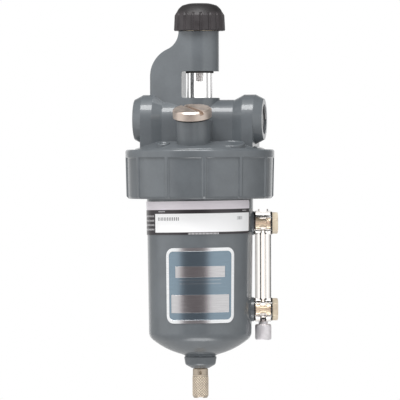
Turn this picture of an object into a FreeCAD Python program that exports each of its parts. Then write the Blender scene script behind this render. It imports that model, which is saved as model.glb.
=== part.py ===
"""Air-line lubricator for compressed air, with a metal bowl, a sight-feed glass and an oil level gauge.

A die-cast head carries two pipe ports, a tilted fill boss and an arm that bridges the sight glass. Air
flows along +X through a venturi. Oil rises from the bowl through the pickup tube, the check valve and a
drilled passage in the arm, passes the needle under the knob, and drips through the glass into the air.
A ribbed clamp ring holds the bowl to the head, and the level gauge stands on two hollow bolts in its side.

Lengths are in millimetres. Pieces are worked out about the bowl's axis, with the ports' axis at height 0,
and moved at the end so that the origin is the centre of the inlet port's face. +X points along the flow,
+Z up, and the fill plug is at the front, towards -Y.
"""

import FreeCAD
import Part
import math
import os
from FreeCAD import Vector

# Ports and barrel. The thread is modelled as a plain wall at the pitch radius of a half-inch pipe thread.
port_face_to_face = 86.0
port_thread_radius = 9.9
port_thread_depth = 17.0
port_nose_radius = 13.5
port_nose_length = 5.6
collar_radius = 16.4
collar_width = 7.5
collar_ramp = 6.4
barrel_radius = 13.0
air_bore_radius = 7.5

# Deck and skirt, the round lower half of the head.
deck_edge_height = -19.3
deck_crown_height = -14.6
deck_crown_radius = 29.0
deck_edge_round = 1.2
deck_thickness = 5.0
skirt_wall = 4.4
skirt_bottom = -40.0

# Arm and sight housing.
housing_radius = 12.8
pedestal_radius = 13.3
housing_top = 58.2
window_bottom = 14.2
window_top = 31.7
window_side = 10.6
window_corner = 1.6
arm_reach = 33.2
arm_nose_radius = 4.0
arm_nose_flat = 0.15
arm_bulge_start = 28.0
arm_bulge_radius = 20.0
arm_edge_round = 1.6

# Fill boss and plug.
fill_tilt_deg = 14.5
fill_seat_height = 0.3
fill_boss_radius = 11.0
fill_web_inset = 0.7
fill_web_top = -0.6
fill_thread_radius = 8.5
fill_thread_depth = 10.5
fill_hole_radius = 7.2
fill_plug_radius = 12.8
fill_plug_height = 5.8
fill_plug_bevel = 1.1
fill_plug_skirt = 9.0
fill_plug_hollow = 5.6
fill_slot_width = 2.6
fill_slot_depth = 2.4
fill_slot_turn_deg = -52.0
fill_seal_thickness = 1.0
fill_seal_radius = 11.6

# Sight glass, nozzle, bonnet and needle.
glass_radius = 8.2
glass_bore_radius = 3.9
glass_seat_depth = 2.0
glass_top = 37.0
glass_clearance = 0.3
lower_seal_thickness = 1.0
upper_seal_width = 1.0
upper_seal_height = 2.6
upper_seal_proud = 1.1
drip_hole_radius = 2.6
nozzle_flange = 2.0
nozzle_tip_height = 24.8
nozzle_root_radius = 1.9
nozzle_tip_radius = 1.35
nozzle_hole_radius = 0.7
bonnet_radius = 9.2
bonnet_groove_width = 3.0
bonnet_groove_depth = 1.6
bonnet_neck_radius = 6.2
bonnet_neck_height = 4.6
bonnet_flange_radius = 11.4
bonnet_flange_height = 1.6
needle_radius = 2.5
needle_taper_length = 5.0
needle_tip_radius = 0.45
needle_collar_radius = 4.0
needle_collar_height = 1.6
needle_seal_height = 1.8
needle_seal_width = 1.2
needle_seal_depth = 2.0
needle_travel = 2.4
needle_entry = 0.3
needle_seat_gap = 1.0
chamber_radius = 4.4
oil_passage_radius = 1.3
oil_passage_inset = 13.2
oil_passage_side = 10.0
oil_passage_elbow = 3.0
oil_passage_join = 16.5
oil_passage_top = 40.0
oil_inlet_radius = 0.9

# Knob.
knob_radius = 17.0
knob_draft = 0.4
knob_height = 18.2
knob_gap = 0.3
knob_flute_count = 18
knob_flute_turn_deg = 2.3
knob_flute_radius = 1.0
knob_flute_sink = 0.2
knob_skirt_height = 10.3
knob_ledge_width = 1.4
knob_ledge_height = 1.7
knob_top_radius = 11.3
knob_crown = 1.4
knob_dome_bulge = 0.5
knob_wall = 2.4
knob_hub_radius = 5.0
knob_roof = 4.0
knob_hub_gap = 0.6
stem_clearance = 0.08

# Clamp ring.
ring_wall = 6.2
ring_draft = 0.7
ring_top_gap = 0.4
ring_bottom = -52.2
ring_top_round = 1.6
ring_band = 4.9
ring_panel_depth = 0.9
ring_lip_height = 6.0
ring_foot_bevel = 1.7
ring_rib_count = 12
ring_rib_width = 2.0
ring_rib_flank = 0.6
ring_turn_deg = 12.0
ring_thread_clearance = 0.08
ring_bowl_clearance = 0.6

# Bowl, with its neck inside the skirt and its flange on the ring's lip.
bowl_turn_deg = 8.6
bowl_radius = 35.2
bowl_ledge = 7.8
bowl_draft = 1.3
bowl_wall = 3.0
bowl_neck_height = 8.5
bowl_neck_clearance = 0.3
bowl_flange_clearance = 0.4
bowl_slip_gap = 0.2
bowl_floor_radius = 8.6
bowl_seal_thickness = 1.5
rest_gap = 0.1
bowl_shoulder_height = -143.2
bowl_knuckle = 6.5
bowl_dish_radius = 49.9
bowl_dish_low = -156.35
bowl_dish_steep_deg = 39.0
bowl_boss_radius = 10.8
bowl_boss_draft = 0.8
bowl_boss_groove = 1.3
bowl_boss_bottom = -161.6
bowl_boss_round = 2.0
bowl_tip_radius = 5.9
bowl_tip_height = -163.9

# Oil level gauge on the bowl's side.
gauge_standoff = 6.3
gauge_upper_height = -68.4
gauge_lower_height = -125.3
gauge_eye_radius = 8.1
gauge_eye_length = 11.0
gauge_rod_radius = 5.4
gauge_bore_radius = 1.6
gauge_crown_radius = 3.4
gauge_crown_height = 1.2
gauge_seal_radius = 7.6
gauge_seal_thickness = 1.2
gauge_seal_sink = 0.6
gauge_pad_radius = 8.0
bolt_radius = 4.0
bolt_clearance = 0.1
bolt_waist_radius = 2.9
bolt_waist_length = 4.4
bolt_hole_radius = 1.3
bolt_head_flats = 12.7
bolt_head_height = 3.8
bolt_head_bevel = 0.9
bolt_upper_turn_deg = 14.5
bolt_lower_turn_deg = 0.0

# Vent screw under the gauge.
vent_knob_radius = 5.2
vent_knob_height = 10.3
vent_knob_bevel = 0.5
vent_neck_radius = 3.0
vent_neck_height = 1.6
vent_stem_radius = 2.0
vent_stem_clearance = 0.08
vent_seal_height = 1.2

# Drain in the bowl's tip.
drain_knob_radius = 5.4
drain_knob_length = 19.4
drain_neck_radius = 5.1
drain_neck_height = 4.6
drain_bevel = 0.7
drain_gap = 0.3
drain_stem_radius = 3.2
drain_stem_clearance = 0.08
drain_stem_length = 6.0
drain_side_hole_radius = 0.8
drain_outlet_radius = 1.5
drain_slot_width = 3.2
drain_slot_depth = 0.6
drain_tip_height = 1.6
bushing_radius = 4.9
bushing_clearance = 0.1
bushing_flange_radius = 7.4
bushing_flange_height = 2.4
bushing_gasket_thickness = 0.8
bushing_seat_radius = 1.4

# Oil pickup and check valve under the deck, the bowl's air orifice, and the venturi.
valve_thread_radius = 4.2
valve_thread_depth = 4.0
valve_hex_flats = 11.0
valve_hex_height = 5.0
valve_barb_radius = 2.4
valve_barb_length = 8.0
valve_ball_radius = 2.0
valve_ball_lift = 1.5
valve_ball_clearance = 0.3
valve_seat_radius = 1.3
valve_pin_radius = 0.5
valve_clearance = 0.1
pickup_tube_radius = 3.6
pickup_tube_bottom = -134.0
strainer_radius = 5.0
strainer_height = 11.0
orifice_offset = 20.0
orifice_radius = 2.4
orifice_hole_radius = 0.5
orifice_passage_radius = 1.2
orifice_clearance = 0.1
venturi_clearance = 0.08
venturi_half_length = 12.0
venturi_throat_radius = 4.7
venturi_lip = 0.8

# Labels stuck to the bowl. Angles run from the bowl's front towards its gauge.
label_thickness = 0.25
label_glue = 0.15
label_top = -53.7
label_bottom = -75.5
label_from_deg = -118.0
label_to_deg = 66.0
badge_top = -84.1
badge_bottom = -133.4
badge_half_deg = 39.5

# Places worked out from the sizes above.
skirt_radius = bowl_radius + bowl_ledge
ring_inner_radius = skirt_radius + ring_thread_clearance
ring_radius = ring_inner_radius + ring_wall
fill_forward = skirt_radius - fill_boss_radius
gauge_reach = bowl_radius + gauge_standoff
oil_passage_offset = bowl_radius - oil_passage_inset
bowl_dish_centre = bowl_dish_low + bowl_dish_radius
bowl_floor_height = bowl_dish_centre - math.sqrt((bowl_dish_radius - bowl_wall)**2 - bowl_floor_radius**2)
port_face = port_face_to_face / 2
collar_outer = port_face - port_nose_length
collar_inner = collar_outer - collar_width
deck_under = deck_edge_height - deck_thickness
skirt_inner_radius = skirt_radius - skirt_wall
glass_seat_height = window_bottom - glass_seat_depth
glass_bottom = glass_seat_height + lower_seal_thickness
glass_hole_radius = glass_radius + glass_clearance
nozzle_top = glass_top + nozzle_flange
bonnet_top = housing_top + bonnet_flange_height
knob_bottom = housing_top + knob_gap
knob_top = knob_bottom + knob_height
ring_top = deck_edge_height - ring_top_gap
flange_top = skirt_bottom - bowl_seal_thickness
lip_top = ring_bottom + ring_lip_height
valve_bottom = deck_under - valve_hex_height
groove_height = (nozzle_top + housing_top) / 2
neck_top = bonnet_top + bonnet_neck_height
needle_tip = nozzle_top - needle_entry
collar_bottom = needle_tip + needle_taper_length + needle_seat_gap
chamber_top = collar_bottom + needle_collar_height + needle_travel + stem_clearance
knob_hollow_top = knob_top - knob_crown - knob_roof
hub_bottom = neck_top + knob_hub_gap
stem_top = knob_hollow_top + knob_roof / 2
drain_top = bowl_tip_height - drain_gap
vent_top = gauge_lower_height - gauge_eye_radius


def outline(corners, place):
    """Closed wire through the corners (u, v) or (u, v, radius), each radius being a tangent arc there."""
    arrivals, middles, departures = [], [], []
    flat = [(*corner, 0)[:3] for corner in corners]
    for i, (u, v, radius) in enumerate(flat):
        here = Vector(u, v, 0)
        if not radius:
            arrivals.append(here)
            middles.append(None)
            departures.append(here)
            continue
        back = (Vector(flat[i - 1][0], flat[i - 1][1], 0) - here).normalize()
        following = flat[(i + 1) % len(flat)]
        onward = (Vector(following[0], following[1], 0) - here).normalize()
        half = back.getAngle(onward) / 2
        reach = radius / math.tan(half)
        inward = (back + onward).normalize()
        arrivals.append(here + back * reach)
        middles.append(here + inward * (radius / math.sin(half) - radius))
        departures.append(here + onward * reach)
    edges = []
    for i, middle in enumerate(middles):
        if middle:
            edges.append(Part.Arc(place(arrivals[i]), place(middle), place(departures[i])).toShape())
        after = (i + 1) % len(flat)
        if (arrivals[after] - departures[i]).Length > 1e-6:
            edges.append(Part.LineSegment(place(departures[i]), place(arrivals[after])).toShape())
    return Part.Wire(edges)


def turned(corners):
    """Solid of revolution about Z of the outline with corners (radius, height)."""
    wire = outline(corners, lambda p: Vector(p.x, 0, p.y))
    return Part.Face(wire).revolve(Vector(0, 0, 0), Vector(0, 0, 1), 360)


def side_prism(corners, half_width):
    """Outline with corners (x, height), extruded both ways along Y."""
    wire = outline(corners, lambda p: Vector(p.x, -half_width, p.y))
    return Part.Face(wire).extrude(Vector(0, 2 * half_width, 0))


def round_bar(radius, low, high, x=0.0, y=0.0):
    """Cylinder along Z."""
    return Part.makeCylinder(radius, high - low, Vector(x, y, low))


def washer(outer, inner, low, high):
    """Flat ring along Z."""
    return round_bar(outer, low, high).cut(round_bar(inner, low - 1, high + 1))


def bar_along_x(radius, start, end, height=0.0):
    """Cylinder along X at a height."""
    return Part.makeCylinder(radius, end - start, Vector(start, 0, height), Vector(1, 0, 0))


def hexagon(flats, low, high, turn_deg=0.0):
    """Hexagonal bar along Z, by its width across flats."""
    corner = flats / math.sqrt(3)
    points = []
    for i in range(7):
        angle = math.radians(60 * i + turn_deg)
        points.append(Vector(corner * math.cos(angle), corner * math.sin(angle), low))
    return Part.Face(Part.makePolygon(points)).extrude(Vector(0, 0, high - low))


def spread(piece, count, start_deg=0.0):
    """Copies of a piece, evenly turned about Z."""
    copies = []
    for i in range(count):
        copy = piece.copy()
        copy.rotate(Vector(0, 0, 0), Vector(0, 0, 1), start_deg + i * 360 / count)
        copies.append(copy)
    return copies


def lay_along_x(piece, x, height):
    """A piece made along Z, turned so that its top points along +X and set at a height."""
    piece = piece.copy()
    piece.rotate(Vector(0, 0, 0), Vector(0, 1, 0), 90)
    piece.translate(Vector(x, 0, height))
    return piece


def on_fill_seat(piece):
    """A piece made upright at the origin, moved to the fill boss's tilted seat."""
    piece = piece.copy()
    piece.rotate(Vector(0, 0, 0), Vector(1, 0, 0), fill_tilt_deg)
    piece.translate(Vector(0, -fill_forward, fill_seat_height))
    return piece


def arch_wire(x, radius, foot):
    """Arch across the flow at x: round above the ports' axis, straight sides down to the foot."""
    left, right = Vector(x, -radius, 0), Vector(x, radius, 0)
    left_foot, right_foot = Vector(x, -radius, foot), Vector(x, radius, foot)
    return Part.Wire([
        Part.LineSegment(left_foot, left).toShape(),
        Part.Arc(left, Vector(x, 0, radius), right).toShape(),
        Part.LineSegment(right, right_foot).toShape(),
        Part.LineSegment(right_foot, left_foot).toShape(),
    ])


def arch_block(stations, foot):
    """Block along X through arches given as (x, radius), straight between them."""
    blocks = []
    for (start, start_radius), (end, end_radius) in zip(stations, stations[1:]):
        wires = [arch_wire(start, start_radius, foot), arch_wire(end, end_radius, foot)]
        blocks.append(Part.makeLoft(wires, True, True))
    return blocks[0].multiFuse(blocks[1:])


def ports_and_barrel():
    """Barrel with a wider arch-shaped collar at each end and a coned nose on each port."""
    foot = deck_under + deck_thickness / 3
    ramp_end = collar_inner - collar_ramp
    block = arch_block([
        (-collar_outer, collar_radius),
        (-collar_inner, collar_radius),
        (-ramp_end, barrel_radius),
        (ramp_end, barrel_radius),
        (collar_inner, collar_radius),
        (collar_outer, collar_radius),
    ], foot)
    noses = []
    for side in (-1, 1):
        start = Vector(side * collar_outer, 0, 0)
        nose = Part.makeCone(collar_radius, port_nose_radius, port_nose_length, start, Vector(side, 0, 0))
        noses.append(nose)
    return block.multiFuse(noses)


def deck_and_skirt():
    """Shallow cone of the deck, with the skirt that the clamp ring screws onto."""
    return turned([
        (0, deck_crown_height),
        (deck_crown_radius, deck_crown_height),
        (skirt_radius, deck_edge_height, deck_edge_round),
        (skirt_radius, skirt_bottom),
        (skirt_inner_radius, skirt_bottom),
        (skirt_inner_radius, deck_under),
        (0, deck_under),
    ])


def arm_and_housing():
    """Teardrop column bounded by the arm's S-shaped back, with the window for the sight glass cut out."""
    nose_x = -(arm_reach - arm_nose_radius)
    slope = math.asin((housing_radius - arm_nose_radius) / -nose_x)
    back, across = math.sin(slope), math.cos(slope)
    front_points = [
        Vector(-housing_radius * back, -housing_radius * across, 0),
        Vector(nose_x - arm_nose_radius * back, -arm_nose_radius * across, 0),
    ]
    rear_points = [Vector(p.x, -p.y, 0) for p in reversed(front_points)]
    plan = Part.Wire([
        Part.LineSegment(*front_points).toShape(),
        Part.Arc(front_points[1], Vector(-arm_reach, 0, 0), rear_points[0]).toShape(),
        Part.LineSegment(*rear_points).toShape(),
        Part.Arc(rear_points[1], Vector(housing_radius, 0, 0), front_points[0]).toShape(),
    ])
    column = Part.Face(plan).extrude(Vector(0, 0, housing_top))

    # The S is two tangent arcs: the bulge, then a hollow that ends upright on the housing's side.
    left = -(arm_reach - arm_nose_flat)
    bulge_x = left + arm_bulge_radius
    rise = housing_top - arm_bulge_start
    offset = bulge_x + housing_radius
    hollow_radius = (offset**2 + rise**2 - arm_bulge_radius**2) / (2 * (arm_bulge_radius - offset))
    bulge_centre = Vector(bulge_x, 0, arm_bulge_start)
    hollow_centre = Vector(-housing_radius - hollow_radius, 0, housing_top)
    between = (hollow_centre - bulge_centre).normalize()
    meeting = bulge_centre + between * arm_bulge_radius
    bulge_way = (Vector(-1, 0, 0) + between).normalize()
    hollow_way = (Vector(1, 0, 0) - between).normalize()
    start = Vector(left, 0, arm_bulge_start)
    top = Vector(-housing_radius, 0, housing_top)
    far = housing_radius + 1
    side = Part.Wire([
        Part.LineSegment(Vector(left, 0, -1), start).toShape(),
        Part.Arc(start, bulge_centre + bulge_way * arm_bulge_radius, meeting).toShape(),
        Part.Arc(meeting, hollow_centre + hollow_way * hollow_radius, top).toShape(),
        Part.LineSegment(top, Vector(far, 0, housing_top)).toShape(),
        Part.LineSegment(Vector(far, 0, housing_top), Vector(far, 0, -1)).toShape(),
        Part.LineSegment(Vector(far, 0, -1), Vector(left, 0, -1)).toShape(),
    ])
    profile = Part.Face(side).extrude(Vector(0, 2 * far, 0))
    profile.translate(Vector(0, -far, 0))
    arm = column.common(profile)
    arm = round_arm_edges(arm)
    window = side_prism([
        (-window_side, window_bottom, window_corner),
        (far, window_bottom),
        (far, window_top),
        (-window_side, window_top, window_corner),
    ], far)
    return arm.cut(window)


def round_arm_edges(arm):
    """Rounds the edges between the arm's S-shaped back and its flanks."""
    edges = []
    for edge in arm.Edges:
        middle = edge.CenterOfMass
        box = edge.BoundBox
        on_back = box.ZMin > arm_bulge_start - 1 and box.XMax < -housing_radius * 0.9
        if on_back and abs(middle.y) > 1 and box.ZLength > 1:
            edges.append(edge)
    return arm.makeFillet(arm_edge_round, edges)


def fill_boss():
    """Tilted round boss with a web back to the barrel."""
    drop = fill_seat_height - deck_under
    boss = on_fill_seat(round_bar(fill_boss_radius, -drop / math.cos(math.radians(fill_tilt_deg)), 0))
    half_width = fill_boss_radius - fill_web_inset
    web_front = fill_forward - drop / 2 * math.tan(math.radians(fill_tilt_deg))
    height = fill_web_top - deck_under
    web = Part.makeBox(2 * half_width, web_front, height, Vector(-half_width, -web_front, deck_under))
    return boss.fuse(web)


def head_passages():
    """Everything drilled or bored in the head, as solids to cut away."""
    bores = [bar_along_x(air_bore_radius, -port_face, port_face)]
    bores.append(bar_along_x(port_thread_radius, -port_face, -port_face + port_thread_depth))
    bores.append(bar_along_x(port_thread_radius, port_face - port_thread_depth, port_face))
    # Sight feed: glass seat and drip hole below, glass hole and bonnet thread above.
    bores.append(round_bar(drip_hole_radius, 0, window_bottom))
    bores.append(round_bar(glass_hole_radius, glass_seat_height, window_bottom + 1))
    bores.append(round_bar(glass_hole_radius, window_top - 1, nozzle_top))
    seal_hole = glass_radius + upper_seal_width
    bores.append(round_bar(seal_hole, window_top - 1, window_top + upper_seal_height - upper_seal_proud))
    bores.append(round_bar(bonnet_radius + valve_clearance, nozzle_top, housing_top + 1))
    # Oil: past the air bore, up the arm and into the bonnet's groove, with a ball end at each bend.
    x = -oil_passage_offset
    route = [
        Vector(x, oil_passage_side, deck_under),
        Vector(x, oil_passage_side, oil_passage_elbow),
        Vector(x, 0, oil_passage_join),
        Vector(x, 0, oil_passage_top),
        Vector(1 - bonnet_radius, 0, groove_height),
    ]
    for start, end in zip(route, route[1:]):
        bores.append(Part.makeCylinder(oil_passage_radius, start.distanceToPoint(end), start, end - start))
    for bend in route[1:-1]:
        bores.append(Part.makeSphere(oil_passage_radius, bend))
    valve_hole = valve_thread_radius + valve_clearance
    valve_top = deck_under + valve_thread_depth + valve_clearance
    bores.append(round_bar(valve_hole, deck_under - 1, valve_top, x, oil_passage_side))
    # Air to the bowl, from ahead of the venturi.
    bores.append(round_bar(orifice_passage_radius, deck_under - 1, 0, -orifice_offset))
    bores.append(round_bar(orifice_radius, deck_under - 1, deck_under + deck_thickness, -orifice_offset))
    # Fill opening.
    bores.append(on_fill_seat(round_bar(fill_thread_radius, -fill_thread_depth, 1)))
    bores.append(on_fill_seat(round_bar(fill_hole_radius, 2 * deck_under, 1)))
    bores.append(round_bar(skirt_inner_radius, skirt_bottom - 1, deck_under))
    return bores


def head_casting():
    """The whole head as cast and machined."""
    pedestal = round_bar(pedestal_radius, deck_under, window_bottom)
    cast = deck_and_skirt().multiFuse([ports_and_barrel(), pedestal, arm_and_housing(), fill_boss()])
    passages = head_passages()
    passages.append(washer(2 * skirt_radius, skirt_radius, skirt_bottom, ring_top + ring_top_gap))
    return cast.cut(passages[0].multiFuse(passages[1:])).removeSplitter()


def valve_bonnet():
    """Screwed bush in the housing: oil groove outside, needle chamber inside, seal groove in its neck."""
    plug = turned([
        (0, nozzle_top),
        (bonnet_radius, nozzle_top),
        (bonnet_radius, housing_top),
        (bonnet_flange_radius, housing_top),
        (bonnet_flange_radius, bonnet_top),
        (bonnet_neck_radius, bonnet_top),
        (bonnet_neck_radius, neck_top),
        (0, neck_top),
    ])
    groove_low = groove_height - bonnet_groove_width / 2
    groove_high = groove_height + bonnet_groove_width / 2
    groove = washer(bonnet_radius + 1, bonnet_radius - bonnet_groove_depth, groove_low, groove_high)
    seal_top = neck_top - needle_seal_depth
    cuts = [
        groove,
        round_bar(chamber_radius, nozzle_top - 1, chamber_top),
        round_bar(needle_radius + stem_clearance, nozzle_top, neck_top + 1),
        round_bar(needle_radius + needle_seal_width, seal_top - needle_seal_height, seal_top),
    ]
    inlet = Part.makeCylinder(oil_inlet_radius, bonnet_radius, Vector(0, 0, groove_low), Vector(-1, 0, 0))
    cuts.append(inlet)
    return plug.cut(cuts[0].multiFuse(cuts[1:]))


def drip_nozzle():
    """Flanged nozzle that hangs inside the glass, with the needle's seat in its top."""
    flange_radius = glass_hole_radius - valve_clearance
    shape = turned([
        (nozzle_hole_radius, nozzle_tip_height),
        (nozzle_tip_radius, nozzle_tip_height),
        (nozzle_root_radius, glass_top),
        (flange_radius, glass_top),
        (flange_radius, nozzle_top),
        (nozzle_hole_radius, nozzle_top),
    ])
    return shape


def needle_valve():
    """Needle with its taper, stop collar and the stem that carries the knob."""
    return turned([
        (0, needle_tip),
        (needle_tip_radius, needle_tip),
        (needle_radius, needle_tip + needle_taper_length),
        (needle_radius, collar_bottom),
        (needle_collar_radius, collar_bottom),
        (needle_collar_radius, collar_bottom + needle_collar_height),
        (needle_radius, collar_bottom + needle_collar_height),
        (needle_radius, stem_top),
        (0, stem_top),
    ])


def needle_o_ring():
    """Seal in the bonnet's neck."""
    top = neck_top - needle_seal_depth
    outer = needle_radius + needle_seal_width
    return washer(outer, needle_radius + stem_clearance, top - needle_seal_height, top)


def adjusting_knob():
    """Fluted knob, hollow below, with a hub on the needle's stem."""
    rim_top = knob_top - knob_crown
    skirt_top = knob_bottom + knob_skirt_height
    dome_foot = knob_radius - knob_draft - knob_ledge_width
    hollow_radius = knob_radius - knob_flute_radius - knob_wall
    bore = needle_radius + stem_clearance
    foot = Vector(dome_foot, 0, skirt_top + knob_ledge_height)
    rim = Vector(knob_top_radius, 0, rim_top)
    outward = Vector(rim_top - foot.z, 0, dome_foot - knob_top_radius).normalize()
    dome_middle = (foot + rim) / 2 + outward * knob_dome_bulge
    corners = [
        Vector(0, 0, knob_top),
        Vector(0, 0, stem_top + rest_gap),
        Vector(bore, 0, stem_top + rest_gap),
        Vector(bore, 0, hub_bottom),
        Vector(knob_hub_radius, 0, hub_bottom),
        Vector(knob_hub_radius, 0, knob_hollow_top),
        Vector(hollow_radius, 0, knob_hollow_top),
        Vector(hollow_radius, 0, knob_bottom),
        Vector(knob_radius, 0, knob_bottom),
        Vector(knob_radius - knob_draft, 0, skirt_top),
        foot,
    ]
    edges = []
    for start, end in zip(corners, corners[1:]):
        edges.append(Part.LineSegment(start, end).toShape())
    edges.append(Part.Arc(foot, dome_middle, rim).toShape())
    edges.append(Part.LineSegment(rim, corners[0]).toShape())
    body = Part.Face(Part.Wire(edges)).revolve(Vector(0, 0, 0), Vector(0, 0, 1), 360)
    flute = round_bar(knob_flute_radius, knob_bottom - 1, knob_top, knob_radius + knob_flute_sink)
    flutes = spread(flute, knob_flute_count, knob_flute_turn_deg)
    return body.cut(flutes[0].multiFuse(flutes[1:]))


def venturi_insert():
    """Sleeve in the air bore that narrows to a throat, with the hole where the oil falls in."""
    outer = air_bore_radius - venturi_clearance
    mouth = outer - venturi_lip
    half = venturi_half_length
    throat = venturi_throat_radius
    sleeve = turned([
        (outer, -half),
        (outer, half),
        (mouth, half),
        (throat, half / 4),
        (throat, -half / 4),
        (mouth, -half),
    ])
    sleeve = lay_along_x(sleeve, 0, 0)
    return sleeve.cut(round_bar(drip_hole_radius, 0, air_bore_radius + 1))


def fill_plug():
    """Slotted plug with a threaded skirt, on the tilted seat."""
    low = fill_seal_thickness + 2 * rest_gap
    high = low + fill_plug_height
    thread = fill_thread_radius - stem_clearance
    plug = turned([
        (0, high),
        (fill_plug_radius - fill_plug_bevel, high),
        (fill_plug_radius, high - fill_plug_bevel),
        (fill_plug_radius, low),
        (thread, low),
        (thread, -fill_plug_skirt),
        (fill_plug_hollow, -fill_plug_skirt),
        (fill_plug_hollow, low),
        (0, low),
    ])
    slot = Part.makeBox(
        4 * fill_plug_radius,
        fill_slot_width,
        fill_slot_depth + 1,
        Vector(-2 * fill_plug_radius, -fill_slot_width / 2, high - fill_slot_depth),
    )
    slot.rotate(Vector(0, 0, 0), Vector(0, 0, 1), fill_slot_turn_deg)
    return on_fill_seat(plug.cut(slot))


def fill_plug_seal():
    """Flat seal between the plug and its boss."""
    inner = fill_thread_radius + stem_clearance
    return on_fill_seat(washer(fill_seal_radius, inner, rest_gap, rest_gap + fill_seal_thickness))


def clamp_ring():
    """Screwed ring with a plain band at its top, shallow panels between upright ribs, and an inner lip."""
    height = ring_top - ring_bottom
    band_radius = ring_radius - ring_draft * ring_band / height
    foot_radius = ring_radius - ring_draft

    def bored(corners):
        return turned(corners + [
            (bowl_radius + ring_bowl_clearance, ring_bottom),
            (bowl_radius + ring_bowl_clearance, lip_top),
            (ring_inner_radius, lip_top),
            (ring_inner_radius, ring_top),
        ])

    full = bored([
        (ring_radius, ring_top, ring_top_round),
        (foot_radius, ring_bottom + ring_foot_bevel),
        (foot_radius - ring_foot_bevel, ring_bottom),
    ])
    panelled = bored([
        (ring_radius, ring_top, ring_top_round),
        (band_radius, ring_top - ring_band),
        (band_radius - ring_panel_depth, ring_top - ring_band - ring_panel_depth),
        (foot_radius - ring_panel_depth, ring_bottom + ring_foot_bevel),
        (foot_radius - ring_foot_bevel - ring_panel_depth / 2, ring_bottom),
    ])
    root = ring_radius - 3 * ring_panel_depth
    half, flank = ring_rib_width / 2, ring_rib_flank
    plan = Part.makePolygon([
        Vector(-half - flank, -root, 0),
        Vector(-half, -ring_radius - 1, 0),
        Vector(half, -ring_radius - 1, 0),
        Vector(half + flank, -root, 0),
        Vector(-half - flank, -root, 0),
    ])
    rib = Part.Face(plan).extrude(Vector(0, 0, height))
    rib.translate(Vector(0, 0, ring_bottom))
    ribs = spread(rib, ring_rib_count, ring_turn_deg)
    return panelled.fuse(full.common(ribs[0].multiFuse(ribs[1:]))).removeSplitter()


def bowl_side(height):
    """Outside radius of the bowl's drafted wall at a height."""
    share = (lip_top - height) / (lip_top - bowl_shoulder_height)
    return bowl_radius - bowl_draft * share


def dished_end(ball_radius, side, rim, knuckle):
    """Outline corners of a dished end: its knuckle at the side, then the corner that the ball's arc rounds.

    The arc runs from the steepest tangent to the rim of the hole or boss in the middle.
    """
    steep = math.radians(bowl_dish_steep_deg)
    shallow = math.asin(rim / ball_radius)
    middle = (steep + shallow) / 2
    reach = ball_radius / math.cos((steep - shallow) / 2)
    tangent_foot = bowl_dish_centre - ball_radius * math.cos(steep)
    shoulder = tangent_foot + (side - ball_radius * math.sin(steep)) * math.tan(steep)
    corner_height = bowl_dish_centre - reach * math.cos(middle)
    return [(side, shoulder, knuckle), (reach * math.sin(middle), corner_height, ball_radius)]


def bowl():
    """Metal cup with a flange for the ring, two gauge pads, a dished bottom and the drain's boss."""
    neck = skirt_inner_radius - bowl_neck_clearance
    neck_edge = flange_top + bowl_neck_height
    flange_bottom = lip_top + bowl_slip_gap
    flange = ring_inner_radius - bowl_flange_clearance
    inner_top = bowl_radius - bowl_wall
    foot = bowl_side(bowl_shoulder_height)
    groove = bowl_boss_radius - bowl_boss_groove
    groove_height = bowl_dish_centre - math.sqrt(bowl_dish_radius**2 - groove**2)
    outer_end = dished_end(bowl_dish_radius, foot, groove, bowl_knuckle)
    inner_end = dished_end(
        bowl_dish_radius - bowl_wall, foot - bowl_wall, bowl_floor_radius, bowl_knuckle - bowl_wall)
    cup = turned([
        (neck, neck_edge),
        (neck, flange_top),
        (flange, flange_top),
        (flange, flange_bottom),
        (bowl_radius, flange_bottom),
        *outer_end,
        (groove, groove_height),
        (bowl_boss_radius, groove_height - bowl_boss_groove),
        (bowl_boss_radius - bowl_boss_draft, bowl_boss_bottom, bowl_boss_round),
        (bowl_tip_radius, bowl_tip_height),
        (bushing_radius, bowl_tip_height),
        (bushing_radius, bowl_floor_height),
        (bowl_floor_radius, bowl_floor_height),
        *reversed(inner_end),
        (inner_top, neck_edge),
    ])
    pad_face = gauge_pad_face()
    inner = round_bar(foot - bowl_wall, bowl_shoulder_height, flange_bottom)
    for height in (gauge_upper_height, gauge_lower_height):
        pad = bar_along_x(gauge_pad_radius, bowl_radius - 2 * bowl_wall, pad_face, height).cut(inner)
        cup = cup.fuse(pad)
    for height in (gauge_upper_height, gauge_lower_height):
        cup = cup.cut(bar_along_x(bolt_radius, 0, pad_face + 1, height))
    return cup.removeSplitter()


def gauge_pad_face():
    """Distance of the pads' faces from the bowl's axis: the seal stands between pad and eye."""
    return gauge_reach - gauge_eye_length / 2 + gauge_seal_sink - gauge_seal_thickness


def bowl_seal():
    """Ring between the skirt and the bowl's flange."""
    outer = ring_inner_radius - 2 * bowl_flange_clearance
    return washer(outer, skirt_inner_radius - bowl_neck_clearance, flange_top, skirt_bottom - rest_gap)


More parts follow.
